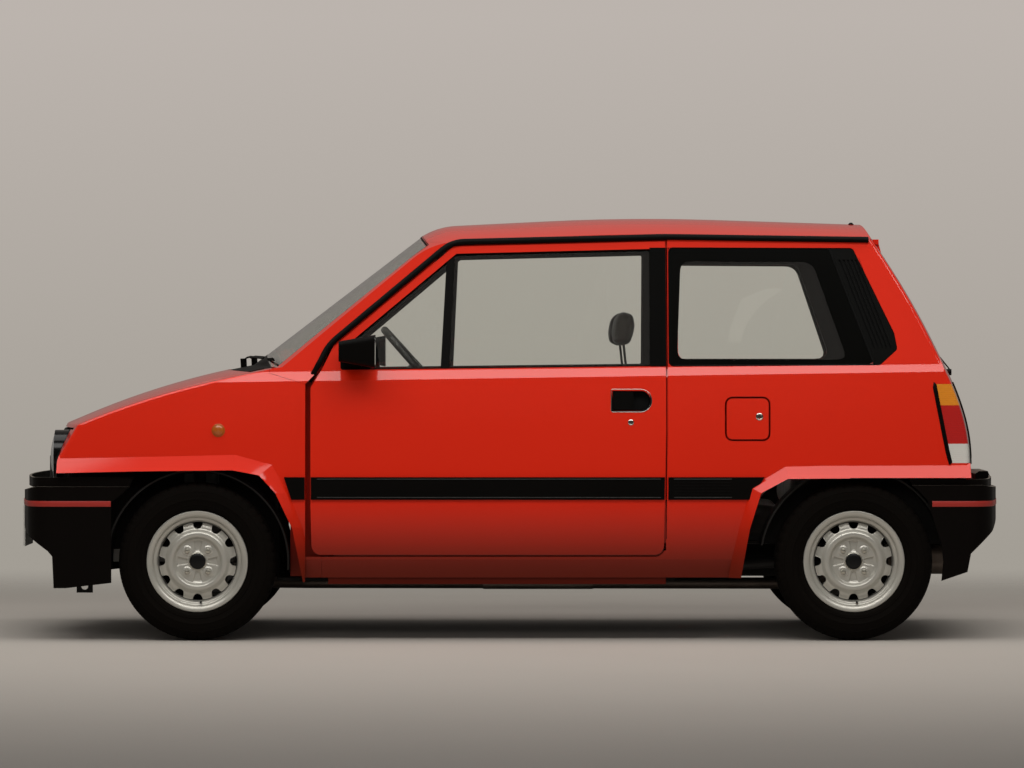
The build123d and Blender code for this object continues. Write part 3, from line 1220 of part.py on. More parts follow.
def make_tyre():
    """Tyre casing, left side, on its own axle."""
    outer = [(-57, 156.4), (-60, 176), (-78, 200), (-82, 216), (-78, 240), (-68, 259), (-58, TYRE_R),
             (58, TYRE_R), (68, 259),
             (78, 240), (82, 216), (78, 200), (60, 176), (57, 156.4)]
    inner = [(40, 156.4), (46, 176), (66, 204), (69, 218), (64, 240), (52, 254), (-52, 254), (-64, 240),
             (-69, 218), (-66, 204),
             (-46, 176), (-40, 156.4)]
    return main_piece(wheel_turned(outer + inner))


def make_rear_suspension():
    """Rear beam, trailing arms, stub axles and dampers."""
    x = REAR_AXLE_X
    beam = rod((x, -WHEEL_PLANE_Y + 40, TYRE_R), (x, WHEEL_PLANE_Y - 40, TYRE_R), 26)
    for side in (-1, 1):
        beam += rod((x, side * (WHEEL_PLANE_Y - 42), TYRE_R), (x, side * (DISC_INNER_Y - 12), TYRE_R),
                    STUB_R)
        beam += rod((x, side * 470, TYRE_R), (KICK_X + 130, side * 430, 240), 18)
        beam += block(KICK_X + 100, KICK_X + 160, min(side * 405, side * 455), max(side * 405, side * 455),
                      222, BOOT_Z - FIT)
        beam += rod((x, side * 500, TYRE_R), (x, side * 500, BOOT_Z - FIT), 34)
    return main_piece(beam)


def make_exhaust():
    """Exhaust pipe with its middle box under the floor and the silencer at the back."""
    path = FilletPolyline((-1009.7, -60, 290), (-935, -60, 290), (-935, -60, 172), (-700, -120, 172),
                          (1040, -180, 172),
                          (1110, -180, 205), (1205, -180, 205), (1330, -180, 250),
                          radius=[45, 60, 120, 45, 60, 60])
    pipe = sweep(Plane(origin=path @ 0, z_dir=path % 0) * Circle(20), path)
    box = extrude(Plane((-91, -150, 172), x_dir=(0, 1, 0), z_dir=(1, 0, 0)) * RectangleRounded(170, 38,
            16), 380)
    silencer = extrude(Plane((1310, -180, 262), x_dir=(0, 1, 0), z_dir=(1, 0, 0)) * RectangleRounded(240,
            110, 40), 215)
    hanger = block(1400, 1420, -190, -170, 300, BOOT_Z - FIT)
    return main_piece(pipe + box + silencer + hanger)


def make_tank():
    tank = block(KICK_X + 175, KICK_X + 420, -380, 380, 205, BOOT_Z - FIT)
    return tank


def make_wipers():
    """Left and right windscreen wipers, parked along the foot of the glass."""
    return [main_piece(rod(foot, tip, WIPER_BOSS_R)) for foot, tip in wiper_spindles()]


def make_front_plate():
    """Blank front number plate hung under the bumper's face on a bracket."""
    back = FRONT_BUMPER_X - FIT
    return block(back - PLATE_T, back, -165, 165, PLATE_LOW_Z, PLATE_LOW_Z + 165)


def pair(shape):
    """A left-hand piece with its right-hand twin."""
    shapes = shape if isinstance(shape, list) else [shape]
    return shapes + [flipped(s) for s in shapes]


def wheel_set(name, shape):
    """One tyre or rim at each corner, on its own axle."""
    for corner, x, side in (("fl", FRONT_AXLE_X, -1), ("fr", FRONT_AXLE_X, 1), ("rl", REAR_AXLE_X, -1),
                            ("rr", REAR_AXLE_X, 1)):
        placed = shape if side < 0 else flipped(shape)
        save(f"{name}_{corner}", Pos(x, 0, TYRE_R) * placed)


# ================================================================ the car
os.makedirs("parts", exist_ok=True)
save("floor_pan", make_floor())
save("bulkhead", make_bulkhead())
save("front_pillars", *pair(make_front_pillars()))
save("sills", *pair(make_sill()))
quarter = make_quarter()
save("quarter_panels", main_piece(quarter - side_prism(fuel_face(FUEL_GAP), 450)), flipped(quarter))
save("roof_panel", make_roof() + gate_hinge_leaves())
save("front_fenders", *pair(make_fender()))
save("inner_fenders", *pair(make_inner_fender()))
save("rear_wheel_houses", *pair(make_wheel_house()))
save("front_panel", make_front_panel())
save("grille", make_grille())
save("headlights", *pair(make_headlight()))
save("front_bumper", make_front_bumper())
save("rear_bumper", make_rear_bumper())
save("tail_panel", make_tail_panel())
save("tail_lights", *pair(make_tail_lamp()))
save("cowl_panel", make_cowl())
save("windscreen", make_windscreen())
save("quarter_glass", *pair(make_quarter_glass()))
save("pillar_vents", *pair(make_vent()))
save("drip_rails", *pair(make_drip_rail()))
save("side_mouldings", *pair(make_body_mouldings()))
save("fuel_pocket", make_fuel_pocket())
save("dashboard", make_dashboard())
save("steering_column", make_column())
save("front_seats", *pair(make_seat()))
save("rear_seat", make_rear_seat())
save("engine", make_engine())
save("radiator", make_radiator())
save("front_subframe", make_subframe())
save("front_struts", *pair(make_strut()))
save("rear_suspension", make_rear_suspension())
save("exhaust", make_exhaust())
save("fuel_tank", make_tank())
save("wipers", *make_wipers())
save("front_plate", make_front_plate())
for hand, place in (("left", lambda s: s), ("right", flipped)):
    save(f"door_{hand}", place(make_door()))
    save(f"door_glass_{hand}", place(make_door_glass()))
    save(f"door_trim_{hand}", *[place(s) for s in make_door_trim()])
    save(f"knuckle_{hand}", place(make_knuckle()))
save("hood", make_hood())
save("tailgate", make_tailgate())
save("tailgate_glass", make_back_glass())
save("rear_wiper", *make_rear_wiper())
save("fuel_flap", make_fuel_flap())
save("steering_wheel", make_steering_wheel())
wheel_set("rim", make_rim())
wheel_set("tyre", make_tyre())
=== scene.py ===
from math import cos, exp, hypot, pi, radians, sin, sqrt

import bmesh
import bpy
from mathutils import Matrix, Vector
from mathutils.bvhtree import BVHTree


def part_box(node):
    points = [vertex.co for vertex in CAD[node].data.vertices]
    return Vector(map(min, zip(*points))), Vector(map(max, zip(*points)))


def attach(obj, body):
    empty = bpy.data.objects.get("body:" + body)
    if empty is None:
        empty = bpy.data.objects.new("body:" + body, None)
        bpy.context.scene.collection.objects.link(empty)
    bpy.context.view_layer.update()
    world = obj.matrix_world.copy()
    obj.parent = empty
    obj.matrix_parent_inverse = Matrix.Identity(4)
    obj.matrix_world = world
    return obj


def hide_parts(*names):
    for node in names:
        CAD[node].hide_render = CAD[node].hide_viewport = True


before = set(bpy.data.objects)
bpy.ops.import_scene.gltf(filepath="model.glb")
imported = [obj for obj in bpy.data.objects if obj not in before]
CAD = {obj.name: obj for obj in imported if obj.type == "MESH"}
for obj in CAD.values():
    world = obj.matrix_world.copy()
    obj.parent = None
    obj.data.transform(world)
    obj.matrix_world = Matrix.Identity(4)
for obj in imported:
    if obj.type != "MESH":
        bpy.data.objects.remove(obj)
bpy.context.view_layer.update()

scene = bpy.context.scene
scene.view_settings.view_transform = "Standard"

# ------------------------------------------------------------------ camera
# A long lens on a low stand square to the car's left side, far enough away that
# the near and far wheels all but cover each other.
CAMERA_AT = Vector((0.009, -20.745, 1.0))
CAMERA_AIM = Vector((0.009, -0.745, 0.868))
LENS_MM = 208.0

camera_data = bpy.data.cameras.new("side_camera")
camera_data.lens = LENS_MM
camera_data.sensor_width = 36.0
camera_data.clip_end = 200.0
camera = bpy.data.objects.new("side_camera", camera_data)
camera.location = CAMERA_AT
camera.rotation_euler = (CAMERA_AIM - CAMERA_AT).to_track_quat("-Z", "Y").to_euler()
scene.collection.objects.link(camera)
scene.camera = camera

# ------------------------------------------------------------------ studio
# Poured floor, painted pale warm grey, that runs out of sight into a backdrop of the same
# paint; one wide soft box hangs over the car, one over its near side, and a third stands
# well off to that side.
FLOOR_HALF = 40.0
FLOOR_FADE_FROM = 4.4
FLOOR_FADE_TO = 8.5
FLOOR_COLOUR = (0.325, 0.300, 0.272)
# Painted light falloff on the floor: painted shade at its near edge, painted light near and under the car.
FLOOR_NEAR_Y = -6.8
FLOOR_NEAR_PAINTED_SHADE = 0.56
FLOOR_UNDER_CAR_Y = -0.2
FLOOR_UNDER_CAR_PAINTED_LIGHT = 1.25
BACKDROP_LOW = (0.36, 0.335, 0.295, 1.0)
BACKDROP_HIGH = (0.50, 0.455, 0.42, 1.0)
MIRRORED_NEAR = 0.10
MIRRORED_FAR = 0.42
WORLD_COLOUR = (0.62, 0.60, 0.57, 1.0)
WORLD_FILL = 0.30


def nodes_of(material):
    """An empty node tree for a material, with its output."""
    material.use_nodes = True
    tree = material.node_tree
    tree.nodes.clear()
    return tree, tree.nodes.new("ShaderNodeOutputMaterial")


def add(tree, kind, **settings):
    """A node with its settings and socket values by name, an underscore for each space."""
    node = tree.nodes.new(kind)
    for key, value in settings.items():
        socket = key.replace("_", " ")
        if socket in node.inputs:
            node.inputs[socket].default_value = value
        else:
            setattr(node, key, value)
    return node


def make_floor():
    """The painted floor: it clears to the backdrop far out, and painted shade darkens it away from the car,
    with painted light near and under the car.
    """
    mesh = bpy.data.meshes.new("studio_floor")
    corners = [(-FLOOR_HALF, -FLOOR_HALF, 0), (FLOOR_HALF, -FLOOR_HALF, 0),
               (FLOOR_HALF, FLOOR_HALF, 0), (-FLOOR_HALF, FLOOR_HALF, 0)]
    mesh.from_pydata(corners, [], [(0, 1, 2, 3)])
    material = bpy.data.materials.new("studio_floor")
    tree, out = nodes_of(material)
    link = tree.links.new
    place = add(tree, "ShaderNodeTexCoord")
    stretch = add(tree, "ShaderNodeMapping", Scale=(0.55, 1.0, 1.0), Location=(0.0, 2.5, 0.0))
    radius = add(tree, "ShaderNodeVectorMath", operation="LENGTH")
    fade = add(tree, "ShaderNodeMapRange", interpolation_type="SMOOTHSTEP",
               From_Min=FLOOR_FADE_FROM, From_Max=FLOOR_FADE_TO)
    grain = add(tree, "ShaderNodeTexNoise", Scale=1.3, Detail=6.0)
    tone = add(tree, "ShaderNodeMix", data_type="RGBA", A=[*FLOOR_COLOUR, 1.0],
               B=[c * 0.95 for c in FLOOR_COLOUR] + [1.0])
    parts = add(tree, "ShaderNodeSeparateXYZ")
    # Painted shade and light: the floor colour is scaled from dark at the near edge up to bright near the
    # car.
    depth = add(tree, "ShaderNodeMapRange", From_Min=FLOOR_NEAR_Y, From_Max=FLOOR_UNDER_CAR_Y,
                To_Min=FLOOR_NEAR_PAINTED_SHADE, To_Max=FLOOR_UNDER_CAR_PAINTED_LIGHT)
    painted_falloff = add(tree, "ShaderNodeMix", data_type="RGBA", blend_type="MULTIPLY", Factor=1.0)
    paint = add(tree, "ShaderNodeBsdfPrincipled", Roughness=0.75, Specular_IOR_Level=0.15)
    clear = add(tree, "ShaderNodeBsdfTransparent")
    blend = add(tree, "ShaderNodeMixShader")
    link(place.outputs["Object"], stretch.inputs["Vector"])
    link(stretch.outputs["Vector"], radius.inputs[0])
    link(radius.outputs["Value"], fade.inputs["Value"])
    link(place.outputs["Object"], grain.inputs["Vector"])
    link(grain.outputs["Fac"], tone.inputs["Factor"])
    link(place.outputs["Object"], parts.inputs["Vector"])
    link(parts.outputs["Y"], depth.inputs["Value"])
    link(tone.outputs["Result"], painted_falloff.inputs["A"])
    link(depth.outputs["Result"], painted_falloff.inputs["B"])
    link(painted_falloff.outputs["Result"], paint.inputs["Base Color"])
    link(fade.outputs["Result"], blend.inputs["Fac"])
    link(paint.outputs["BSDF"], blend.inputs[1])
    link(clear.outputs["BSDF"], blend.inputs[2])
    link(blend.outputs["Shader"], out.inputs["Surface"])
    mesh.materials.append(material)
    floor = bpy.data.objects.new("studio_floor", mesh)
    scene.collection.objects.link(floor)


def make_world():
    """The backdrop, mirrored more faintly on the near side, and the even light that it gives."""
    world = bpy.data.worlds.new("studio")
    scene.world = world
    world.use_nodes = True
    tree = world.node_tree
    tree.nodes.clear()
    link = tree.links.new
    out = add(tree, "ShaderNodeOutputWorld")
    place = add(tree, "ShaderNodeTexCoord")
    parts = add(tree, "ShaderNodeSeparateXYZ")
    height = add(tree, "ShaderNodeMapRange", From_Min=-0.035, From_Max=0.055)
    colour = add(tree, "ShaderNodeMix", data_type="RGBA", A=BACKDROP_LOW, B=BACKDROP_HIGH)
    side = add(tree, "ShaderNodeMapRange", From_Min=-0.5, From_Max=0.35, To_Min=MIRRORED_NEAR,
               To_Max=MIRRORED_FAR)
    path = add(tree, "ShaderNodeLightPath")
    direct = add(tree, "ShaderNodeMath", operation="MAXIMUM")
    strength = add(tree, "ShaderNodeMath", operation="MAXIMUM")
    shown = add(tree, "ShaderNodeMath", operation="MAXIMUM")
    seen = add(tree, "ShaderNodeBackground")
    lit = add(tree, "ShaderNodeBackground", Color=WORLD_COLOUR, Strength=WORLD_FILL)
    pick = add(tree, "ShaderNodeMixShader")
    link(place.outputs["Generated"], parts.inputs["Vector"])
    link(parts.outputs["Z"], height.inputs["Value"])
    link(height.outputs["Result"], colour.inputs["Factor"])
    link(colour.outputs["Result"], seen.inputs["Color"])
    link(path.outputs["Is Camera Ray"], direct.inputs[0])
    link(path.outputs["Is Transmission Ray"], direct.inputs[1])
    link(parts.outputs["Y"], side.inputs["Value"])
    link(side.outputs["Result"], strength.inputs[0])
    link(direct.outputs["Value"], strength.inputs[1])
    link(strength.outputs["Value"], seen.inputs["Strength"])
    link(direct.outputs["Value"], shown.inputs[0])
    link(path.outputs["Is Glossy Ray"], shown.inputs[1])
    link(shown.outputs["Value"], pick.inputs["Fac"])
    link(lit.outputs["Background"], pick.inputs[1])
    link(seen.outputs["Background"], pick.inputs[2])
    link(pick.outputs["Shader"], out.inputs["Surface"])


def soft_box(name, at, aim, width, height, watts, colour=(1.0, 0.98, 0.95), mirrored=True):
    """A rectangular soft box pointed at a spot; unless mirrored, no gloss shows it."""
    data = bpy.data.lights.new(name, "AREA")
    data.shape = "RECTANGLE"
    data.size = width
    data.size_y = height
    data.energy = watts
    data.color = colour
    lamp = bpy.data.objects.new(name, data)
    lamp.location = at
    lamp.rotation_euler = (Vector(aim) - Vector(at)).to_track_quat("-Z", "Y").to_euler()
    lamp.visible_glossy = mirrored
    scene.collection.objects.link(lamp)


make_floor()
make_world()
soft_box("top_box", (0, -0.4, 5.2), (0, -0.4, 0), 9.0, 2.8, 180)
soft_box("brow_box", (0, -4.0, 4.9), (0, -1.6, 0.8), 9.0, 1.9, 240)
soft_box("side_box", (-1.0, -11.0, 3.4), (0, 0, 0.6), 7.0, 2.4, 235, mirrored=False)


# ------------------------------------------------------------------ underbody
# The pressed floor, arch liners and tank are sprayed with stone-chip coating; the frames,
# arms and struts bolted under them are black chassis paint, and the exhaust is bare steel.
BODY = "body"


def finish(name, colour, roughness, grain=0.0, grain_size=0.002, mottle=0.06, drift_size=0.25, **sockets):
    """A finish whose tone and gloss drift a little over a piece, with a fine grain in relief."""
    material = bpy.data.materials.new(name)
    tree, out = nodes_of(material)
    link = tree.links.new
    shader = add(tree, "ShaderNodeBsdfPrincipled", **sockets)
    place = add(tree, "ShaderNodeTexCoord")
    drift = add(tree, "ShaderNodeTexNoise", Scale=1.0 / drift_size, Detail=4.0)
    tone = add(tree, "ShaderNodeMix", data_type="RGBA", A=[c * (1 - mottle) for c in colour] + [1.0],
               B=[min(1.0, c * (1 + mottle)) for c in colour] + [1.0])
    gloss = add(tree, "ShaderNodeMapRange", To_Min=roughness * 0.85, To_Max=min(1.0, roughness * 1.15))
    link(place.outputs["Object"], drift.inputs["Vector"])
    link(drift.outputs["Fac"], tone.inputs["Factor"])
    link(drift.outputs["Fac"], gloss.inputs["Value"])
    link(tone.outputs["Result"], shader.inputs["Base Color"])
    link(gloss.outputs["Result"], shader.inputs["Roughness"])
    if grain:
        relief = add(tree, "ShaderNodeTexNoise", Scale=1.0 / grain_size, Detail=2.0)
        bump = add(tree, "ShaderNodeBump", Strength=grain, Distance=grain_size * 0.4)
        link(place.outputs["Object"], relief.inputs["Vector"])
        link(relief.outputs["Fac"], bump.inputs["Height"])
        link(bump.outputs["Normal"], shader.inputs["Normal"])
    link(shader.outputs["BSDF"], out.inputs["Surface"])
    return material


def coat(material, *names):
    """Gives the named pieces of the frame this finish."""
    for name in names:
        CAD[name].data.materials.clear()
        CAD[name].data.materials.append(material)


chip_coat = finish("stone_chip_coat", (0.012, 0.011, 0.010), 0.85, grain=0.5, grain_size=0.004,
                   Specular_IOR_Level=0.15)
chassis_black = finish("chassis_black", (0.015, 0.014, 0.013), 0.55, grain=0.15, grain_size=0.003,
                       Specular_IOR_Level=0.3)
dull_steel = finish("exhaust_steel", (0.16, 0.13, 0.11), 0.48, grain=0.2, grain_size=0.002, mottle=0.35,
                    drift_size=0.06, Metallic=0.9)
cast_metal = finish("cast_alloy", (0.30, 0.30, 0.29), 0.55, grain=0.5, grain_size=0.002, mottle=0.2,
                    Metallic=0.7)
core_black = finish("radiator_core", (0.02, 0.02, 0.02), 0.6, grain=0.8, grain_size=0.003, Metallic=0.4)
coat(chip_coat, "floor_pan", "inner_fenders", "rear_wheel_houses", "fuel_tank", "bulkhead")
coat(chassis_black, "front_subframe", "front_struts", "rear_suspension", "front_panel")
coat(cast_metal, "engine", "knuckle_left", "knuckle_right")
coat(core_black, "radiator")
coat(dull_steel, "exhaust")

# ------------------------------------------------------------------ wheels
# A pressed steel disc, with a raised ring, a dished nut seat and half-round cooling holes
# at its edge, welded into a rolled steel rim and painted silver; a black cap closes the hub.
WHEEL_SIDES = {"fl": -1, "fr": 1, "rl": -1, "rr": 1}
DISC_STEPS = 288
DISC_ROWS = 44
ROUND_ROWS = 33
ROUND_R = 0.100
DISC_IN_R = 0.024
DISC_OUT_R = 0.1305
DISC_PLANE = 0.037
CREST_R = 0.091
CREST_H = 0.013
BOWL_R = 0.074
HOLES = 12
HOLE_R = 0.0135
HOLE_AT_R = 0.1215
POCKETS = 4
POCKET_DEPTH = 0.0055
NUT_AT_R = 0.050
NUTS = 4
CAP_R = 0.0265


def smooth_step(low, high, value):
    """0 below low, 1 above high, and a smooth rise between."""
    t = max(0.0, min(1.0, (value - low) / (high - low)))
    return t * t * (3 - 2 * t)


def disc_height(r, angle):
    """How far the disc stands outboard of its own plane."""
    ring = CREST_H * smooth_step(BOWL_R, CREST_R - 0.004, r) * (1 - smooth_step(CREST_R + 0.001, 0.112, r))
    flange = -0.007 * smooth_step(0.112, 0.131, r)
    turn = (angle + pi / POCKETS) % (2 * pi / POCKETS) - pi / POCKETS
    across, along = abs(r * sin(turn)), r * cos(turn)
    half = 0.008 + 0.22 * (along - 0.034)
    pocket = smooth_step(-0.0025, 0.0015, half - across)
    pocket *= smooth_step(0.032, 0.037, r) * (1 - smooth_step(0.068, 0.073, r))
    seat_turn = angle % (2 * pi / NUTS) - pi / NUTS
    seat = hypot(r * sin(seat_turn), r * cos(seat_turn) - NUT_AT_R)
    boss = 0.003 * (1 - smooth_step(0.012, 0.018, seat))
    return ring + flange + boss - POCKET_DEPTH * pocket + 0.002 * (1 - smooth_step(0.028, 0.031, r))


def disc_edge(angle):
    """The disc's outer radius, cut back where a cooling hole breaks its edge."""
    turn = (angle + pi / HOLES) % (2 * pi / HOLES) - pi / HOLES
    off = HOLE_AT_R * sin(turn)
    if abs(off) >= HOLE_R:
        return DISC_OUT_R
    return min(DISC_OUT_R, HOLE_AT_R * cos(turn) - sqrt(HOLE_R ** 2 - off ** 2))


def disc_radius(row, angle):
    """The radius of one of the disc's rows of points: round rows first, then rows along its edge."""
    if row <= ROUND_ROWS:
        return DISC_IN_R + (ROUND_R - DISC_IN_R) * (row / ROUND_ROWS)
    return ROUND_R + (disc_edge(angle + pi / 2) - ROUND_R) * (row - ROUND_ROWS) / (DISC_ROWS - 1 - ROUND_ROWS)


def new_piece(name, points, faces, material, body, sharp=35.0, thickness=0.0):
    """A mesh piece with smooth faces, creased where they meet at more than the sharp angle."""
    mesh = bpy.data.meshes.new(name)
    mesh.from_pydata([tuple(p) for p in points], [], faces)
    work = bmesh.new()
    work.from_mesh(mesh)
    bmesh.ops.remove_doubles(work, verts=work.verts, dist=1e-6)
    bmesh.ops.recalc_face_normals(work, faces=work.faces)
    if thickness:
        bmesh.ops.solidify(work, geom=work.faces, thickness=thickness)
    for edge in work.edges:
        edge.smooth = len(edge.link_faces) == 2 and edge.calc_face_angle(0) < radians(sharp)
    for face in work.faces:
        face.smooth = True
    work.to_mesh(mesh)
    work.free()
    mesh.materials.append(material)
    piece = bpy.data.objects.new(name, mesh)
    scene.collection.objects.link(piece)
    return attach(piece, body)


def grid_faces(rows, columns, wrap_rows=False, wrap_columns=True):
    """The quads between rows of points; a wrapped side joins its last points to its first."""
    faces = []
    for i in range(rows if wrap_rows else rows - 1):
        for j in range(columns if wrap_columns else columns - 1):
            a, b = i * columns + j, i * columns + (j + 1) % columns
            c, d = ((i + 1) % rows) * columns + (j + 1) % columns, ((i + 1) % rows) * columns + j
            faces.append((a, b, c, d))
    return faces


def turned(profile, centre, steps, side=-1, closed=True):
    """Points and faces of a ring turned about the axle; the profile is (radius, outboard)."""
    points = []
    for r, out in profile:
        for j in range(steps):
            a = 2 * pi * j / steps
            points.append((centre.x + r * cos(a), centre.y + side * out, centre.z + r * sin(a)))
    return points, grid_faces(len(profile), steps, wrap_rows=closed)


def ring_of_copies(name, unit, centre, side, count, radius, first, material):
    """A unit piece repeated round the axle by a node tree, as plain points and faces."""
    tree = bpy.data.node_groups.new(name, "GeometryNodeTree")
    sockets = tree.interface
    sockets.new_socket("Geometry", in_out="INPUT", socket_type="NodeSocketGeometry")
    sockets.new_socket("Geometry", in_out="OUTPUT", socket_type="NodeSocketGeometry")
    wanted = {}
    for label, kind, value in (("Count", "NodeSocketInt", count), ("Radius", "NodeSocketFloat", radius)):
        wanted[sockets.new_socket(label, in_out="INPUT", socket_type=kind).identifier] = value
    link = tree.links.new
    given, made = tree.nodes.new("NodeGroupInput"), tree.nodes.new("NodeGroupOutput")
    circle = tree.nodes.new("GeometryNodeMeshCircle")
    spread = tree.nodes.new("GeometryNodeInstanceOnPoints")
    turn = tree.nodes.new("GeometryNodeTransform")
    turn.inputs["Rotation"].default_value = (0, 0, first)
    real = tree.nodes.new("GeometryNodeRealizeInstances")
    dress = tree.nodes.new("GeometryNodeSetMaterial")
    dress.inputs["Material"].default_value = material
    link(given.outputs["Count"], circle.inputs["Vertices"])
    link(given.outputs["Radius"], circle.inputs["Radius"])
    link(circle.outputs["Mesh"], spread.inputs["Points"])
    link(given.outputs["Geometry"], spread.inputs["Instance"])
    link(spread.outputs["Instances"], turn.inputs["Geometry"])
    link(turn.outputs["Geometry"], real.inputs["Geometry"])
    link(real.outputs["Geometry"], dress.inputs["Geometry"])
    link(dress.outputs["Geometry"], made.inputs["Geometry"])
    mesh = bpy.data.meshes.new(name)
    mesh.from_pydata(unit[0], [], unit[1])
    holder = bpy.data.objects.new(name, mesh)
    scene.collection.objects.link(holder)
    modifier = holder.modifiers.new("copies", "NODES")
    modifier.node_group = tree
    for identifier, value in wanted.items():
        modifier[identifier] = value
    bpy.context.view_layer.update()
    result = bpy.data.meshes.new_from_object(holder.evaluated_get(bpy.context.evaluated_depsgraph_get()))
    points = [(centre.x + v.co.x, centre.y + side * v.co.z, centre.z + v.co.y) for v in result.vertices]
    faces = [tuple(p.vertices) for p in result.polygons]
    bpy.data.objects.remove(holder)
    bpy.data.meshes.remove(result)
    return points, faces


def flat_turned(profile, steps):
    """A small turned unit standing along Z: the profile is (radius, height)."""
    points = [(r * cos(2 * pi * j / steps), r * sin(2 * pi * j / steps), z)
              for r, z in profile for j in range(steps)]
    faces = grid_faces(len(profile), steps)
    faces.append(tuple(range((len(profile) - 1) * steps, len(profile) * steps)))
    return points, faces


wheel_silver = finish("wheel_silver", (0.45, 0.437, 0.390), 0.34, grain=0.10, grain_size=0.0012, mottle=0.05,
                      drift_size=0.05, Metallic=0.5, Coat_Weight=0.2, Coat_Roughness=0.25)
nut_steel = finish("nut_plating", (0.55, 0.53, 0.46), 0.28, mottle=0.10, drift_size=0.01, Metallic=0.9)
cap_black = finish("cap_black", (0.004, 0.004, 0.004), 0.35, grain=0.05, Specular_IOR_Level=0.25)
valve_rubber = finish("valve_rubber", (0.008, 0.008, 0.008), 0.7)

RIM_SHAPE = [(0.1700, 0.0610), (0.1712, 0.0650), (0.1690, 0.0672), (0.1640, 0.0666), (0.1570, 0.0640),
             (0.1520, 0.0606), (0.1498, 0.0560), (0.1488, 0.0500), (0.1470, 0.0480), (0.1420, 0.0478),
             (0.1390, 0.0462), (0.1360, 0.0400), (0.1335, 0.0300), (0.1320, 0.0180), (0.1312, 0.0050),
             (0.1312, -0.0200), (0.1400, -0.0330), (0.1500, -0.0420), (0.1560, -0.0560), (0.1690, -0.0640),
             (0.1712, -0.0655), (0.1700, -0.0630), (0.1590, -0.0540), (0.1530, -0.0400), (0.1430, -0.0290),
             (0.1345, -0.0180), (0.1345, 0.0050), (0.1355, 0.0200), (0.1390, 0.0390), (0.1430, 0.0448),
             (0.1510, 0.0470), (0.1530, 0.0560), (0.1570, 0.0605), (0.1650, 0.0632)]

for corner, side in WHEEL_SIDES.items():
    low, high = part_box(f"tyre_{corner}")
    hub = (low + high) / 2
    disc_points = []
    for row in range(DISC_ROWS):
        for j in range(DISC_STEPS):
            angle = 2 * pi * j / DISC_STEPS
            r = disc_radius(row, angle)
            out = DISC_PLANE + disc_height(r, angle)
            disc_points.append((hub.x + r * cos(angle), hub.y + side * out, hub.z + r * sin(angle)))
    new_piece(f"wheel_disc_{corner}", disc_points, grid_faces(DISC_ROWS, DISC_STEPS), wheel_silver,
              f"wheel_{corner}", sharp=50, thickness=-0.003)
    rim = new_piece(f"wheel_rim_{corner}", *turned(RIM_SHAPE, hub, 144, side), wheel_silver,
                    f"wheel_{corner}", sharp=60)
    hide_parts(f"rim_{corner}")
    base = DISC_PLANE + 0.001
    nut = flat_turned([(0.0105, base), (0.0105, base + 0.003), (0.0088, base + 0.0045),
                       (0.0084, base + 0.011), (0.0068, base + 0.0140), (0.0030, base + 0.0155)], 12)
    nuts = ring_of_copies(f"nut_ring_{corner}", nut, hub, side, NUTS, NUT_AT_R, pi / NUTS, nut_steel)
    new_piece(f"wheel_nuts_{corner}", *nuts, nut_steel, f"wheel_{corner}", sharp=40)
    cap = turned([(CAP_R, DISC_PLANE - 0.004), (CAP_R, DISC_PLANE + 0.0065),
                  (CAP_R - 0.0015, DISC_PLANE + 0.0080), (0.016, DISC_PLANE + 0.0095),
                  (0.008, DISC_PLANE + 0.0102), (0.0001, DISC_PLANE + 0.0104)], hub, 48, side, closed=False)
    new_piece(f"hub_cap_{corner}", *cap, cap_black, f"wheel_{corner}", sharp=60)
    ring = turned([(CAP_R + 0.0002, DISC_PLANE), (CAP_R + 0.0002, DISC_PLANE + 0.0060),
                   (CAP_R + 0.0012, DISC_PLANE + 0.0072), (CAP_R + 0.0034, DISC_PLANE + 0.0060),
                   (CAP_R + 0.0040, DISC_PLANE)], hub, 48, side)
    new_piece(f"cap_ring_{corner}", *ring, nut_steel, f"wheel_{corner}", sharp=60)
    valve = turned([(0.0042, 0.0), (0.0042, 0.022), (0.0030, 0.026), (0.0030, 0.034), (0.0001, 0.035)],
                   Vector((hub.x + 0.011, hub.y + side * 0.028, hub.z - 0.1385)), 16, side, closed=False)
    new_piece(f"tyre_valve_{corner}", *valve, valve_rubber, f"wheel_{corner}", sharp=60)

# ------------------------------------------------------------------ tyres
# Black radial tyres: a tread of ribs cut across into blocks at the shoulders, bulged side
# walls with a few moulded rings, and a bead pressed behind the rim's rolled edge.
TYRE_STEPS = 240
TREAD_R = 0.268
LUG_EVERY = 5
LUG_STAGGER = 2


def tyre_profile():
    """(radius, outboard, how far lugs are cut there) round the section, bead to bead."""
    wall = [(0.1722, 0.0655, 0), (0.1760, 0.0706, 0), (0.1800, 0.0742, 0), (0.1830, 0.0752, 0),
            (0.1860, 0.0762, 0), (0.1890, 0.0764, 0), (0.1902, 0.0780, 0), (0.1925, 0.0782, 0),
            (0.1935, 0.0772, 0), (0.2000, 0.0790, 0), (0.2090, 0.0808, 0), (0.2105, 0.0818, 0),
            (0.2120, 0.0812, 0), (0.2200, 0.0812, 0), (0.2290, 0.0800, 0), (0.2350, 0.0786, 0),
            (0.2362, 0.0794, 0), (0.2376, 0.0782, 0), (0.2450, 0.0756, 0.001), (0.2520, 0.0716, 0.003),
            (0.2580, 0.0668, 0.004), (0.2620, 0.0615, 0.004), (0.2640, 0.0560, 0.004)]
    tread = [(0.2655, 0.0440, 0.004), (0.2657, 0.0424, 0), (0.2590, 0.0418, 0), (0.2590, 0.0362, 0),
             (0.2666, 0.0356, 0), (0.2674, 0.0160, 0), (0.2608, 0.0154, 0), (0.2608, 0.0106, 0),
             (0.2676, 0.0100, 0), (TREAD_R, 0.0020, 0)]
    half = wall + tread
    other = [(r, -out, cut) for r, out, cut in reversed(half)]
    inside = [(0.1722, -0.0600, 0), (0.2400, -0.0700, 0), (0.2520, -0.0500, 0), (0.2520, 0.0500, 0),
              (0.2400, 0.0700, 0), (0.1722, 0.0600, 0)]
    return half + other + inside


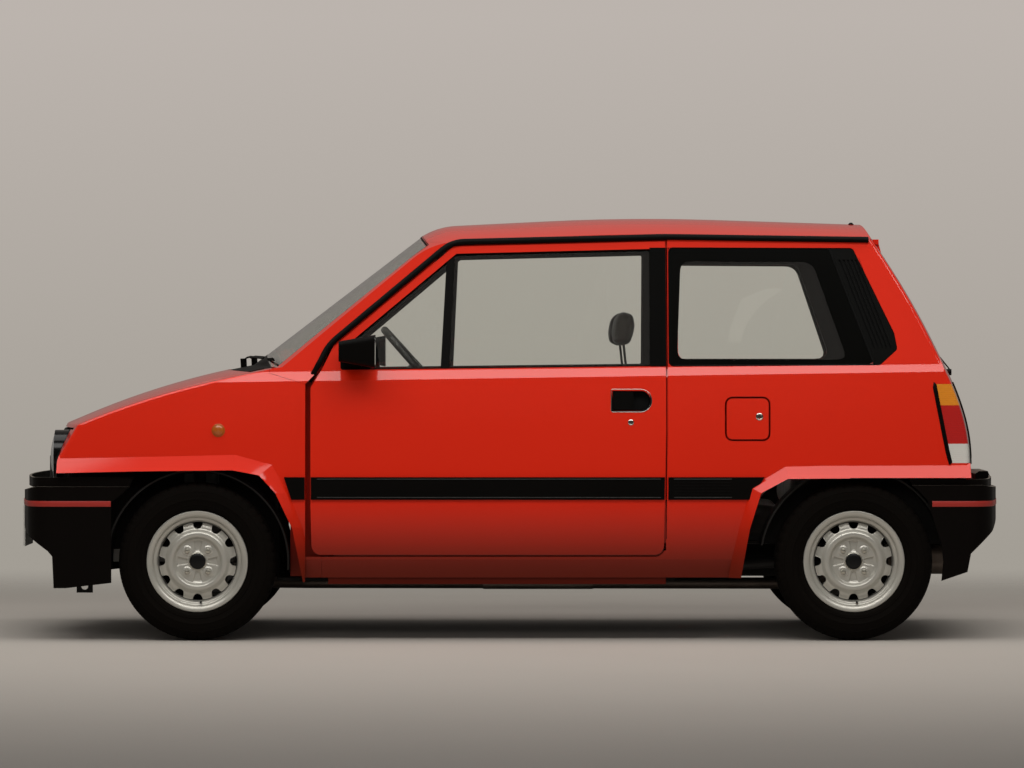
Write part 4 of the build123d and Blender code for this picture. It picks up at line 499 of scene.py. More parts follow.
tyre_rubber = finish("tyre_rubber", (0.0026, 0.0018, 0.0012), 0.80, grain=0.25, grain_size=0.0015,
                     mottle=0.25, drift_size=0.04, Specular_IOR_Level=0.06)
shape = tyre_profile()
for corner, side in WHEEL_SIDES.items():
    low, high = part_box(f"tyre_{corner}")
    hub = (low + high) / 2
    tyre_points = []
    for r, out, cut in shape:
        first = LUG_STAGGER if out < 0 else 0
        for j in range(TYRE_STEPS):
            a = 2 * pi * j / TYRE_STEPS
            groove = cut if (j + first) % LUG_EVERY == 0 else 0.0
            tyre_points.append((hub.x + (r - groove) * cos(a), hub.y + side * out,
                                hub.z + (r - groove) * sin(a)))
    tyre_faces = grid_faces(len(shape), TYRE_STEPS, wrap_rows=True)
    tyre = new_piece(f"road_tyre_{corner}", tyre_points, tyre_faces, tyre_rubber, f"wheel_{corner}", sharp=40)
    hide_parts(f"tyre_{corner}")

# ------------------------------------------------------------------ painted panels
# Steel pressings, spot-welded or bolted together, primed and sprayed signal red with a clear coat;
# the finish carries a faint orange peel and goes duller towards the sills, where painted shade darkens the
# red.
PAINT_RED = (0.610, 0.0155, 0.0022)
# Painted shade: the dark red that the paint is darkened to at the sills.
PAINT_LOW_SHADE = (0.110, 0.0090, 0.0030)
TRIM_BLACK = (0.004, 0.004, 0.0035)
SHADE_AND_DULLING_FROM_Z = 0.52
SHADE_AND_DULLING_FULL_Z = 0.22
BELT_Z = 0.920


def body_paint():
    """Clear-coated red, darkened by painted shade and with a thinner clear coat towards the sills, and black
    where a window frame faces the cabin.
    """
    material = bpy.data.materials.new("body_paint")
    tree, out = nodes_of(material)
    link = tree.links.new
    shader = add(tree, "ShaderNodeBsdfPrincipled", Roughness=0.5, Coat_Roughness=0.06, Coat_IOR=1.5,
                 Specular_IOR_Level=0.12)
    place = add(tree, "ShaderNodeTexCoord")
    parts = add(tree, "ShaderNodeSeparateXYZ")
    link(place.outputs["Object"], parts.inputs["Vector"])

    cloud = add(tree, "ShaderNodeTexNoise", Scale=3.0, Detail=5.0)
    tone = add(tree, "ShaderNodeMix", data_type="RGBA", A=[c * 0.97 for c in PAINT_RED] + [1.0],
               B=[c * 1.03 for c in PAINT_RED] + [1.0])
    # Painted shade: the red is darkened towards the sills; the clear coat thins over the same heights.
    height = add(tree, "ShaderNodeMapRange", interpolation_type="SMOOTHSTEP",
                 From_Min=SHADE_AND_DULLING_FULL_Z, From_Max=SHADE_AND_DULLING_FROM_Z)
    low_shade = add(tree, "ShaderNodeMix", data_type="RGBA", A=[*PAINT_LOW_SHADE, 1.0])
    shine = add(tree, "ShaderNodeMapRange", From_Min=SHADE_AND_DULLING_FULL_Z, From_Max=SHADE_AND_DULLING_FROM_Z,
                To_Min=0.10, To_Max=0.90)
    link(place.outputs["Object"], cloud.inputs["Vector"])
    link(cloud.outputs["Fac"], tone.inputs["Factor"])
    link(parts.outputs["Z"], height.inputs["Value"])
    link(height.outputs["Result"], low_shade.inputs["Factor"])
    link(tone.outputs["Result"], low_shade.inputs["B"])
    link(parts.outputs["Z"], shine.inputs["Value"])

    flank = add(tree, "ShaderNodeMath", operation="SIGN")
    half = add(tree, "ShaderNodeMath", operation="MULTIPLY")
    half.inputs[1].default_value = 0.8
    shell = add(tree, "ShaderNodeCombineXYZ", Z=0.6)
    faces = add(tree, "ShaderNodeVectorMath", operation="DOT_PRODUCT")
    inward = add(tree, "ShaderNodeMapRange", From_Min=0.18, From_Max=0.04)
    belt = add(tree, "ShaderNodeMapRange", From_Min=BELT_Z - 0.005, From_Max=BELT_Z + 0.005)
    lined = add(tree, "ShaderNodeMath", operation="MULTIPLY")
    link(parts.outputs["Y"], flank.inputs[0])
    link(flank.outputs["Value"], half.inputs[0])
    link(half.outputs["Value"], shell.inputs["Y"])
    link(place.outputs["Normal"], faces.inputs[0])
    link(shell.outputs["Vector"], faces.inputs[1])
    link(faces.outputs["Value"], inward.inputs["Value"])
    link(parts.outputs["Z"], belt.inputs["Value"])
    link(inward.outputs["Result"], lined.inputs[0])
    link(belt.outputs["Result"], lined.inputs[1])

    trim = add(tree, "ShaderNodeMix", data_type="RGBA", B=[*TRIM_BLACK, 1.0])
    bare = add(tree, "ShaderNodeMath", operation="MULTIPLY_ADD")
    bare.inputs[1].default_value = -0.97
    bare.inputs[2].default_value = 1.0
    coated = add(tree, "ShaderNodeMath", operation="MULTIPLY")
    link(lined.outputs["Value"], trim.inputs["Factor"])
    link(low_shade.outputs["Result"], trim.inputs["A"])
    link(trim.outputs["Result"], shader.inputs["Base Color"])
    link(lined.outputs["Value"], bare.inputs[0])
    link(shine.outputs["Result"], coated.inputs[0])
    link(bare.outputs["Value"], coated.inputs[1])
    link(coated.outputs["Value"], shader.inputs["Coat Weight"])

    peel = add(tree, "ShaderNodeTexNoise", Scale=260.0, Detail=2.0)
    bump = add(tree, "ShaderNodeBump", Strength=0.035, Distance=0.0006)
    link(place.outputs["Object"], peel.inputs["Vector"])
    link(peel.outputs["Fac"], bump.inputs["Height"])
    link(bump.outputs["Normal"], shader.inputs["Coat Normal"])
    link(shader.outputs["BSDF"], out.inputs["Surface"])
    return material


paint = body_paint()
coat(paint, "roof_panel", "front_pillars", "sills", "quarter_panels", "front_fenders", "tail_panel",
     "hood", "door_left", "door_right", "tailgate", "fuel_flap", "fuel_pocket")

# ------------------------------------------------------------------ glass
# Toughened side glass and a laminated windscreen, faintly green. The fixed rear side glass
# is bonded over its pillar, so a black band is fired round its edge.
glass = finish("window_glass", (0.955, 0.972, 0.945), 0.004, mottle=0.01, Transmission_Weight=1.0, IOR=1.45)
laminated = finish("laminated_glass", (0.820, 0.850, 0.800), 0.006, mottle=0.03, Transmission_Weight=1.0,
                   IOR=1.45)
coat(glass, "door_glass_left", "door_glass_right", "quarter_glass", "tailgate_glass")
coat(laminated, "windscreen")
OUTSIDE_Y = -1.2
INSIDE_Y = -0.25
LOOK = 0.75


def skin_tree(*names):
    """The named pieces of the frame as one tree of faces to look for a surface in."""
    points, faces = [], []
    for name in names:
        start = len(points)
        points += [v.co.copy() for v in CAD[name].data.vertices]
        faces += [[start + i for i in p.vertices] for p in CAD[name].data.polygons]
    return BVHTree.FromPolygons(points, faces)


def on_left_side(tree, outline, lift=0.0, inside=False):
    """(x, z) points put on the car's left side; one that falls in a gap takes its neighbours' depth."""
    found = []
    start, way = (INSIDE_Y, -1) if inside else (OUTSIDE_Y, 1)
    for x, z in outline:
        hit = tree.ray_cast(Vector((x, start, z)), Vector((0, way, 0)), LOOK)
        found.append(hit[0].y if hit[0] else None)
    known = [i for i, y in enumerate(found) if y is not None]
    for i, y in enumerate(found):
        if y is None:
            found[i] = found[min(known, key=lambda k: abs(k - i))]
    return [Vector((x, y - way * lift, z)) for (x, z), y in zip(outline, found)]


def rounded(corners, radius, step=0.03, closed=True):
    """(x, z) points along straight runs whose corners are rounded off."""
    count = len(corners)
    points = []
    for i in range(count):
        at = Vector(corners[i])
        if not closed and i in (0, count - 1):
            points.append(at)
            continue
        before, after = Vector(corners[i - 1]) - at, Vector(corners[(i + 1) % count]) - at
        reach = min(radius, before.length * 0.45, after.length * 0.45)
        first, last = at + before.normalized() * reach, at + after.normalized() * reach
        for k in range(7):
            t = k / 6
            points.append(first * (1 - t) ** 2 + at * 2 * t * (1 - t) + last * t * t)
    even = []
    pairs = zip(points, points[1:] + points[:1]) if closed else zip(points, points[1:])
    for a, b in pairs:
        parts = max(1, int((b - a).length / step))
        even += [a.lerp(b, k / parts) for k in range(parts)]
    return [tuple(p) for p in (even if closed else even + [points[-1]])]


def swept(path, profile, outward, closed=True):
    """Points and faces of a strip along a path; the profile is (across, outward)."""
    count, points = len(path), []
    for i, at in enumerate(path):
        ahead = path[(i + 1) % count] if closed or i < count - 1 else at
        behind = path[i - 1] if closed or i > 0 else at
        along = (ahead - behind).normalized()
        up = outward(at) if callable(outward) else outward
        across = along.cross(up).normalized()
        up = across.cross(along).normalized()
        points += [at + across * u + up * v for u, v in profile]
    width = len(profile)
    faces = grid_faces(count, width, wrap_rows=closed)
    if not closed:
        faces += [tuple(range(width)), tuple(range((count - 1) * width, count * width))]
    return points, faces


def flipped(points):
    """The points mirrored to the car's other side."""
    return [Vector((p[0], -p[1], p[2])) for p in points]


def left_and_right(name, shape, material, bodies=(BODY, BODY), **more):
    """A left-hand piece and its mirrored twin."""
    points, faces = shape
    return [new_piece(f"{name}_left", points, faces, material, bodies[0], **more),
            new_piece(f"{name}_right", flipped(points), faces, material, bodies[1], **more)]


def edge_of(name, flat, keep=lambda p: True):
    """The points round the edge of a pane: the hull of its points laid flat."""
    spots = sorted({(round(flat(v.co)[0], 4), round(flat(v.co)[1], 4)): v.co.copy()
                    for v in CAD[name].data.vertices if keep(v.co)}.items())

    def half(run):
        kept = []
        for key, place in run:
            while len(kept) > 1:
                (ax, ay), (bx, by) = kept[-2][0], kept[-1][0]
                if (bx - ax) * (key[1] - ay) - (by - ay) * (key[0] - ax) > 1e-7:
                    break
                kept.pop()
            kept.append((key, place))
        return kept[:-1]

    hull = [place for key, place in half(spots) + half(spots[::-1])]
    even = []
    for a, b in zip(hull, hull[1:] + hull[:1]):
        parts = max(1, int((b - a).length / 0.04))
        even += [a.lerp(b, k / parts) for k in range(parts)]
    spaced = [even[0]]
    for p in even[1:]:
        if (p - spaced[-1]).length > 0.004:
            spaced.append(p)
    return spaced


QUARTER_EDGE = [(0.582, 1.286), (1.030, 1.283), (1.146, 0.950), (0.568, 0.950)]
FRIT_STEPS = 160
PANE_X, PANE_Y, PANE_Z = 0.85, -0.66, 1.12
frit_black = finish("fired_black_band", (0.0015, 0.0015, 0.0012), 0.30, mottle=0.02, Specular_IOR_Level=0.05)
seal_rubber = finish("seal_rubber", (0.002, 0.002, 0.0018), 0.6, grain=0.2, grain_size=0.001,
                     Specular_IOR_Level=0.08)

pane = skin_tree("quarter_glass")
pane_edge = edge_of("quarter_glass", lambda p: (p.x, p.z), lambda p: p.y < 0)
outer_line, inner_line = [], []
inner_path = [Vector((x, 0, z)) for x, z in rounded(QUARTER_EDGE, 0.035, 0.01)]
outer_path = [Vector((p.x, 0, p.z)) for p in pane_edge]


def hit_from(path, angle):
    """Where a line from the pane's centre at this angle crosses a closed line round it."""
    way = Vector((cos(angle), 0, sin(angle)))
    best = None
    for a, b in zip(path, path[1:] + path[:1]):
        run = b - a
        det = way.x * -run.z + run.x * way.z
        if abs(det) < 1e-12:
            continue
        off = Vector((a.x - PANE_X, 0, a.z - PANE_Z))
        t = (off.x * -run.z + run.x * off.z) / det
        s = (way.x * off.z - way.z * off.x) / det
        if t > 0 and -1e-6 <= s <= 1 + 1e-6 and (best is None or t > best):
            best = t
    return PANE_X + way.x * best, PANE_Z + way.z * best


for k in range(FRIT_STEPS):
    angle = 2 * pi * k / FRIT_STEPS
    ox, oz = hit_from(outer_path, angle)
    outer_line.append((PANE_X + (ox - PANE_X) * 0.995, PANE_Z + (oz - PANE_Z) * 0.995))
    inner_line.append(hit_from(inner_path, angle))


def on_pane(outline, gap=0.0003):
    """Points just clear of the pane's outer face; past its edge they keep the last depth."""
    placed, depth = [], PANE_Y
    for x, z in outline:
        hit = pane.ray_cast(Vector((x, OUTSIDE_Y, z)), Vector((0, 1, 0)), LOOK)
        if hit[0]:
            depth = hit[0].y - gap
        placed.append(Vector((x, depth, z)))
    return placed


middle_line = [((a[0] + b[0]) / 2, (a[1] + b[1]) / 2) for a, b in zip(outer_line, inner_line)]
band = on_pane(outer_line) + on_pane(middle_line) + on_pane(inner_line)
left_and_right("glass_band", (band, grid_faces(3, FRIT_STEPS)), frit_black)

# ------------------------------------------------------------------ window seals
# Extruded black rubber channels pressed round each pane, a rubber strip down the shut face
# behind the door, and matt black tape over the door's rear frame and that face's top.
STRIP = [(-0.006, -0.003), (-0.006, 0.0010), (-0.0045, 0.0026), (0.0045, 0.0026), (0.006, 0.0010),
         (0.006, -0.003)]
SLIM_STRIP = [(u * 0.7, v * 0.8) for u, v in STRIP]
SIDE_OUT = Vector((0, -0.96, 0.28))
SCREEN_OUT = Vector((-0.62, 0, 0.78))
door_bodies = ("door_left", "door_right")

for name, outward, body in (("windscreen", SCREEN_OUT, BODY),
                            ("tailgate_glass", Vector((0.92, 0, 0.38)), "tailgate")):
    edge = edge_of(name, lambda p: (p.y, p.z))
    new_piece(f"{name}_seal", *swept(edge, STRIP, outward), seal_rubber, body, sharp=60)
door_edge = edge_of("door_glass_left", lambda p: (p.x, p.z))
left_and_right("door_glass_seal", swept(door_edge, SLIM_STRIP, SIDE_OUT), seal_rubber, door_bodies, sharp=60)
left_and_right("quarter_glass_seal", swept(pane_edge, SLIM_STRIP, SIDE_OUT), seal_rubber, sharp=60)

tape_black = finish("pillar_tape", (0.0015, 0.0014, 0.0012), 0.5, grain=0.2, grain_size=0.0012,
                    Specular_IOR_Level=0.04)


def sheet(tree, corners, rows, columns, lift, inside=False):
    """A thin sheet laid on the left side between four (x, z) corners, given round from low front."""
    (ax, az), (bx, bz), (cx, cz), (dx, dz) = corners
    outline = []
    for i in range(rows + 1):
        v = i / rows
        for j in range(columns + 1):
            u = j / columns
            low, high = (ax + (bx - ax) * u, az + (bz - az) * u), (dx + (cx - dx) * u, dz + (cz - dz) * u)
            outline.append((low[0] + (high[0] - low[0]) * v, low[1] + (high[1] - low[1]) * v))
    return on_left_side(tree, outline, lift, inside), grid_faces(rows + 1, columns + 1, wrap_columns=False)


tape = sheet(skin_tree("door_left"), ((0.4765, 0.927), (0.5306, 0.927), (0.5306, 1.331), (0.4765, 1.331)),
             40, 6, 0.0006)
left_and_right("pillar_tape", tape, tape_black, door_bodies, thickness=0.0004)
shut_face = skin_tree("quarter_panels", "quarter_glass")
tape = sheet(shut_face, ((0.5332, 0.929), (0.5480, 0.929), (0.5480, 1.331), (0.5332, 1.331)), 40, 3, 0.0004)
left_and_right("shut_face_tape", tape, tape_black, thickness=0.0003)
jamb = sheet(skin_tree("quarter_panels"),
             ((0.5298, 0.345), (0.5322, 0.345), (0.5322, 1.330), (0.5298, 1.330)), 60, 2, 0.0008)
left_and_right("door_weatherstrip", jamb, seal_rubber, thickness=0.0006)

# ------------------------------------------------------------------ outside trim
# Black moulded parts clipped to the panels: the roof gutters' rails, the ribbed side
# mouldings, door mirrors, the vents in the rear pillars and the ventilation cowl, with the
# wipers, front and rear, and the washer jet on the roof.
moulded_black = finish("moulded_black", (0.0018, 0.0015, 0.0012), 0.50, grain=0.35, grain_size=0.0010,
                       mottle=0.15, Specular_IOR_Level=0.07)
vent_black = finish("vent_black", (0.0020, 0.0020, 0.0016), 0.40, grain=0.1, Specular_IOR_Level=0.07)
coat(moulded_black, "drip_rails", "side_mouldings", "door_trim_left", "door_trim_right", "cowl_panel",
     "wipers", "grille", "rear_wiper")
coat(vent_black, "pillar_vents")
backing = sheet(skin_tree("quarter_panels"),
                ((1.228, 0.984), (1.303, 0.984), (1.189, 1.296), (1.112, 1.296)), 24, 6, 0.0004)
left_and_right("vent_backing", backing, seal_rubber, thickness=0.0003)

GUTTER = [(-0.680, 0.877), (-0.648, 0.930), (-0.612, 1.003), (-0.196, 1.352), (0.530, 1.370), (1.222, 1.3600)]
GUTTER_RAIL = [(-0.0095, -0.0118), (-0.0095, -0.0040), (-0.0060, -0.0004), (0.0060, -0.0004),
               (0.0095, -0.0040), (0.0095, -0.0118)]
gutter_line = on_left_side(skin_tree("drip_rails"), rounded(GUTTER, 0.042, 0.03, closed=False))
for piece in left_and_right("gutter_rail", swept(gutter_line, GUTTER_RAIL, SIDE_OUT, closed=False),
                            moulded_black, sharp=70):
    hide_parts("drip_rails")

BEAD = [(-0.0016, -0.0006), (-0.0014, 0.0009), (0.0, 0.0014), (0.0014, 0.0009), (0.0016, -0.0006)]
# Painted highlight: the beads are the moulding's own black plastic, made a lighter grey and glossier to stand
# for the highlight along its edges.
bead_highlight_grey = finish("moulding_bead", (0.012, 0.011, 0.010), 0.38, grain=0.1, Specular_IOR_Level=0.35)
DOOR_MOULDING_X = (-0.650, 0.512)
QUARTER_MOULDING_X = (0.556, 0.752)
for label, bodies, moulding, (x_low, x_high) in (
        ("door", door_bodies, "door_trim_left", DOOR_MOULDING_X),
        ("quarter", (BODY, BODY), "side_mouldings", QUARTER_MOULDING_X)):
    strip = skin_tree(moulding)
    for edge, z in (("upper", 0.5465), ("lower", 0.4845)):
        steps = round((x_high - x_low) / 0.02)
        line = on_left_side(strip, [(x_low + (x_high - x_low) * k / steps, z) for k in range(steps + 1)])
        left_and_right(f"{label}_moulding_bead_{edge}", swept(line, BEAD, SIDE_OUT, closed=False),
                       bead_highlight_grey, bodies, sharp=70)
strip = skin_tree("side_mouldings")
RIBS = 5
RIB_PITCH = 0.010
x_low, x_high = QUARTER_MOULDING_X
thin = [(u * 0.6, v * 0.6) for u, v in BEAD]
for k in range(RIBS):
    z = 0.4955 + RIB_PITCH * k
    line = on_left_side(strip, [(x_low + (x_high - x_low) * i / 10, z) for i in range(11)])
    left_and_right(f"quarter_moulding_rib_{k}", swept(line, thin, SIDE_OUT, closed=False), moulded_black,
                   sharp=70)

mirror_glass = finish("mirror_glass", (0.75, 0.77, 0.76), 0.03, mottle=0.02, Metallic=1.0)
MIRROR_GRID = 40
MIRROR_EDGE = 0.008
housing, faced = skin_tree("door_trim_left"), []
for i in range(MIRROR_GRID + 1):
    for j in range(MIRROR_GRID + 1):
        start = Vector((-0.30, -0.97 + 0.19 * i / MIRROR_GRID, 0.88 + 0.18 * j / MIRROR_GRID))
        hit = housing.ray_cast(start, Vector((-1, 0, 0)), 0.30)
        if hit[0]:
            faced.append(hit[0])
rear = max(p.x for p in faced)
faced = [p for p in faced if rear - p.x < 0.004]
y_low, y_high = min(p.y for p in faced) + MIRROR_EDGE, max(p.y for p in faced) - MIRROR_EDGE
z_low, z_high = min(p.z for p in faced) + MIRROR_EDGE, max(p.z for p in faced) - MIRROR_EDGE
outline = rounded([(y_low, z_low), (y_high, z_low), (y_high, z_high), (y_low, z_high)], 0.014)
count = len(outline)
plate = [Vector((rear + out, y, z)) for out in (0.0001, 0.0004) for y, z in outline]
plate_faces = grid_faces(2, count) + [tuple(range(count)), tuple(range(count, 2 * count))]
left_and_right("mirror_glass", (plate, plate_faces), mirror_glass, door_bodies, sharp=30)

roof = skin_tree("roof_panel")
foot = roof.ray_cast(Vector((1.19, -0.12, 1.6)), Vector((0, 0, -1)), 0.6)[0]
jet_points, jet_faces = flat_turned([(0.010, -0.002), (0.010, 0.001), (0.008, 0.003), (0.005, 0.006),
                                     (0.003, 0.007)], 20)
jet_points = [(foot.x + x, foot.y + y, foot.z + z) for x, y, z in jet_points]
new_piece("screen_jet", jet_points, jet_faces, moulded_black, BODY)

WIPER_BAR = [(-0.004, 0.0), (-0.004, 0.004), (0.004, 0.004), (0.004, 0.0)]
WIPER_BLADE = [(-0.004, 0.003), (-0.0015, 0.009), (0.0015, 0.009), (0.004, 0.003), (0.0008, -0.004),
               (-0.0008, -0.004)]
BACK_OUT = Vector((0.844, 0, 0.537))
ARM_BENDS = ((-0.919, -0.010, 0.953), (-0.903, 0.060, 0.957), (-0.868, 0.200, 0.955), (-0.846, 0.290, 0.953))
for label, y in (("left", -0.080), ("right", 0.330)):
    front_arm = [Vector((x, y - across, z)) for x, across, z in ARM_BENDS]
    front_blade = [Vector((-0.836 + 0.0004 * k * k, y - 0.080 - 0.044 * k, 0.946 + 0.0003 * k))
                   for k in range(10)]
    new_piece(f"wiper_arm_{label}", *swept(front_arm, WIPER_BAR, SCREEN_OUT, closed=False), moulded_black,
              BODY, sharp=30)
    new_piece(f"wiper_blade_{label}", *swept(front_blade, WIPER_BLADE, SCREEN_OUT, closed=False),
              seal_rubber, BODY, sharp=30)
arm = [Vector(p) for p in ((1.541, -0.060, 0.908), (1.535, -0.020, 0.920), (1.512, 0.090, 0.958),
                           (1.4905, 0.200, 0.995))]
blade = [Vector((1.4835, -0.020 + 0.44 * k / 8, 0.990)) for k in range(9)]
new_piece("rear_wiper_arm", *swept(arm, WIPER_BAR, BACK_OUT, closed=False), moulded_black, "tailgate",
          sharp=30)
new_piece("rear_wiper_blade", *swept(blade, WIPER_BLADE, BACK_OUT, closed=False), seal_rubber, "tailgate",
          sharp=30)

# ------------------------------------------------------------------ door and filler fittings
# A black recess behind the pull flap with a bright lip round it, a plated lock under it,
# a plated lock in the filler flap, and an amber side lamp screwed to each front wing.
plating = finish("bright_plating", (0.62, 0.60, 0.56), 0.14, mottle=0.05, drift_size=0.02, Metallic=1.0)
recess_black = finish("recess_black", (0.003, 0.003, 0.003), 0.5, grain=0.1, Specular_IOR_Level=0.1)
lens_amber = finish("amber_lens", (0.36, 0.085, 0.006), 0.25, mottle=0.12, drift_size=0.01,
                    Coat_Weight=0.4, Coat_Roughness=0.1)
HANDLE_X = (0.348, 0.478)
HANDLE_Z = (0.777, 0.846)


def handle_outline(grow):
    """The recess: square at the front, half-round at the rear."""
    front, rear = HANDLE_X
    middle, radius = sum(HANDLE_Z) / 2, (HANDLE_Z[1] - HANDLE_Z[0]) / 2
    half, front = radius + grow, front - grow
    arc = [pi * k / 24 for k in range(25)]
    return [(rear - radius + half * sin(a), middle - half * cos(a)) for a in arc] + [
        (front + 0.004, middle + half), (front, middle + half - 0.004),
        (front, middle - half + 0.004), (front + 0.004, middle - half)]


door_panel = skin_tree("door_left")
lip_path = on_left_side(door_panel, handle_outline(0.004))
LIP = [(-0.0012, -0.001), (-0.0012, 0.0010), (0.0, 0.0016), (0.0012, 0.0010), (0.0012, -0.001)]
left_and_right("handle_lip", swept(lip_path, LIP, SIDE_OUT), plating, door_bodies, sharp=70)
brim = on_left_side(door_panel, handle_outline(0.0045), 0.0002)
rim_in = [Vector((x, p.y, z)) for (x, z), p in zip(handle_outline(-0.0008), brim)]
cup_points = brim + rim_in
mid_x, mid_z = sum(HANDLE_X) / 2, sum(HANDLE_Z) / 2
shares = (1.0, 0.8, 0.6, 0.4, 0.2, 0.02)
for share in shares:
    floor_line = [(mid_x + (x - mid_x) * share, mid_z + (z - mid_z) * share)
                  for x, z in handle_outline(-0.0016)]
    cup_points += on_left_side(door_panel, floor_line, 0.0006)
cup_faces = grid_faces(2 + len(shares), len(brim))
left_and_right("handle_cup", (cup_points, cup_faces), recess_black, door_bodies, sharp=30)


def button(x, z, tree, profile, steps=40):
    """A small turned fitting on the left side; the profile is (radius, outboard)."""
    face = on_left_side(tree, [(x + 0.03, z), (x, z + 0.03), (x, z - 0.03)])
    return turned(profile, Vector((x, face[0].y, z)), steps, -1, closed=False)


LOCK = [(0.0105, -0.002), (0.0105, 0.0012), (0.0092, 0.0030), (0.0066, 0.0034), (0.0058, 0.0016),
        (0.0056, 0.0010), (0.0001, 0.0010)]
left_and_right("door_lock", button(0.411, 0.738, door_panel, LOCK), plating, door_bodies, sharp=50)
flap_panel = skin_tree("fuel_flap")
lock = button(0.846, 0.757, flap_panel, [(r * 1.25, h) for r, h in LOCK])
new_piece("filler_lock", *lock, plating, "fuel_flap", sharp=50)
wing_panel = skin_tree("front_fenders")
LENS = [(0.0225, -0.004), (0.0225, 0.0020), (0.0212, 0.0032), (0.0185, 0.0034), (0.0180, 0.0060),
        (0.0150, 0.0090), (0.0100, 0.0106), (0.0095, 0.0098), (0.0050, 0.0112), (0.0045, 0.0104),
        (0.0001, 0.0116)]
left_and_right("side_lamp", button(-0.984, 0.711, wing_panel, LENS), lens_amber, sharp=35)

# ------------------------------------------------------------------ nose
# Moulded grille between two round lamps, each a domed lens in a black bezel, over a one-piece
# moulded bumper whose upward faces carry a painted grey-brown highlight, with a red inlay and a blank plate.
def facing(material, way, low, high, colour):
    """Lays a second colour over a finish where its surface faces one way."""
    tree = material.node_tree
    shader = next(n for n in tree.nodes if n.bl_idname == "ShaderNodeBsdfPrincipled")
    under = shader.inputs["Base Color"].links[0].from_socket
    place = add(tree, "ShaderNodeTexCoord")
    turn = add(tree, "ShaderNodeVectorMath", operation="DOT_PRODUCT")
    turn.inputs[1].default_value = way
    share = add(tree, "ShaderNodeMapRange", interpolation_type="SMOOTHSTEP", From_Min=low, From_Max=high)
    over = add(tree, "ShaderNodeMix", data_type="RGBA", B=(*colour, 1.0))
    tree.links.new(place.outputs["Normal"], turn.inputs[0])
    tree.links.new(turn.outputs["Value"], share.inputs["Value"])
    tree.links.new(share.outputs["Result"], over.inputs["Factor"])
    tree.links.new(under, over.inputs["A"])
    tree.links.new(over.outputs["Result"], shader.inputs["Base Color"])


lamp_glass = finish("headlamp_lens", (0.004, 0.004, 0.004), 0.16, mottle=0.15, drift_size=0.03, Metallic=0.5)
facing(lamp_glass, (-1.0, 0.0, 0.0), 0.55, 0.80, (0.60, 0.62, 0.62))
bumper_black = finish("bumper_moulding", (0.0022, 0.0014, 0.0010), 0.50, grain=0.4, grain_size=0.0012,
                      mottle=0.12, Specular_IOR_Level=0.07)
# Painted highlight: the bumpers' upward faces turn grey-brown, standing in for the sheen of the overhead
# light.
facing(bumper_black, (0.0, 0.0, 1.0), 0.25, 0.75, (0.135, 0.118, 0.098))
plate_white = finish("blank_plate", (0.55, 0.54, 0.50), 0.45, mottle=0.05)
inlay_red = finish("bumper_inlay", (0.30, 0.020, 0.014), 0.45, mottle=0.05, Specular_IOR_Level=0.4)
coat(lamp_glass, "headlights")
coat(bumper_black, "front_bumper", "rear_bumper")
coat(plate_white, "front_plate")
INLAY = [(-0.0095, -0.002), (-0.0095, 0.0010), (-0.0080, 0.0018), (0.0080, 0.0018), (0.0095, 0.0010),
         (0.0095, -0.002)]
INLAY_Z = 0.463


def round_bumper(name, centre_x, turn, reach, height, count=90):
    """Points round a bumper's face at one height, looked for from outside."""
    tree = skin_tree(name)
    found, outs = [], []
    for k in range(count + 1):
        a = turn + reach * (2 * k / count - 1)
        way = Vector((cos(a), sin(a), 0))
        hit = tree.ray_cast(Vector((centre_x, 0, height)) + way * 1.6, -way, 1.6)
        if hit[0]:
            found.append(hit[0])
            outs.append(Vector((hit[1].x, hit[1].y, 0)).normalized())
    return found, outs


for name, centre_x, turn, reach in (("front_bumper", -0.95, pi, 1.20), ("rear_bumper", 1.00, 0.0, 1.11)):
    line, outs = round_bumper(name, centre_x, turn, reach, INLAY_Z)
    out_at = {tuple(p): out for p, out in zip(line, outs)}
    shape = swept(line, INLAY, lambda p: out_at[tuple(p)], closed=False)
    new_piece(f"{name}_inlay", *shape, inlay_red, BODY, sharp=60)

# ------------------------------------------------------------------ tail lamps
# Three-colour moulded lenses wrapped round each corner, amber over red over clear, with fine
# flutes moulded in, each in a black frame.
LAMP_FOOT_Z = 0.60
LAMP_HEIGHT = 0.30
LAMP_BANDS = ((0.665, (0.55, 0.54, 0.50)), (0.795, (0.40, 0.012, 0.010)), (0.90, (0.62, 0.21, 0.015)))


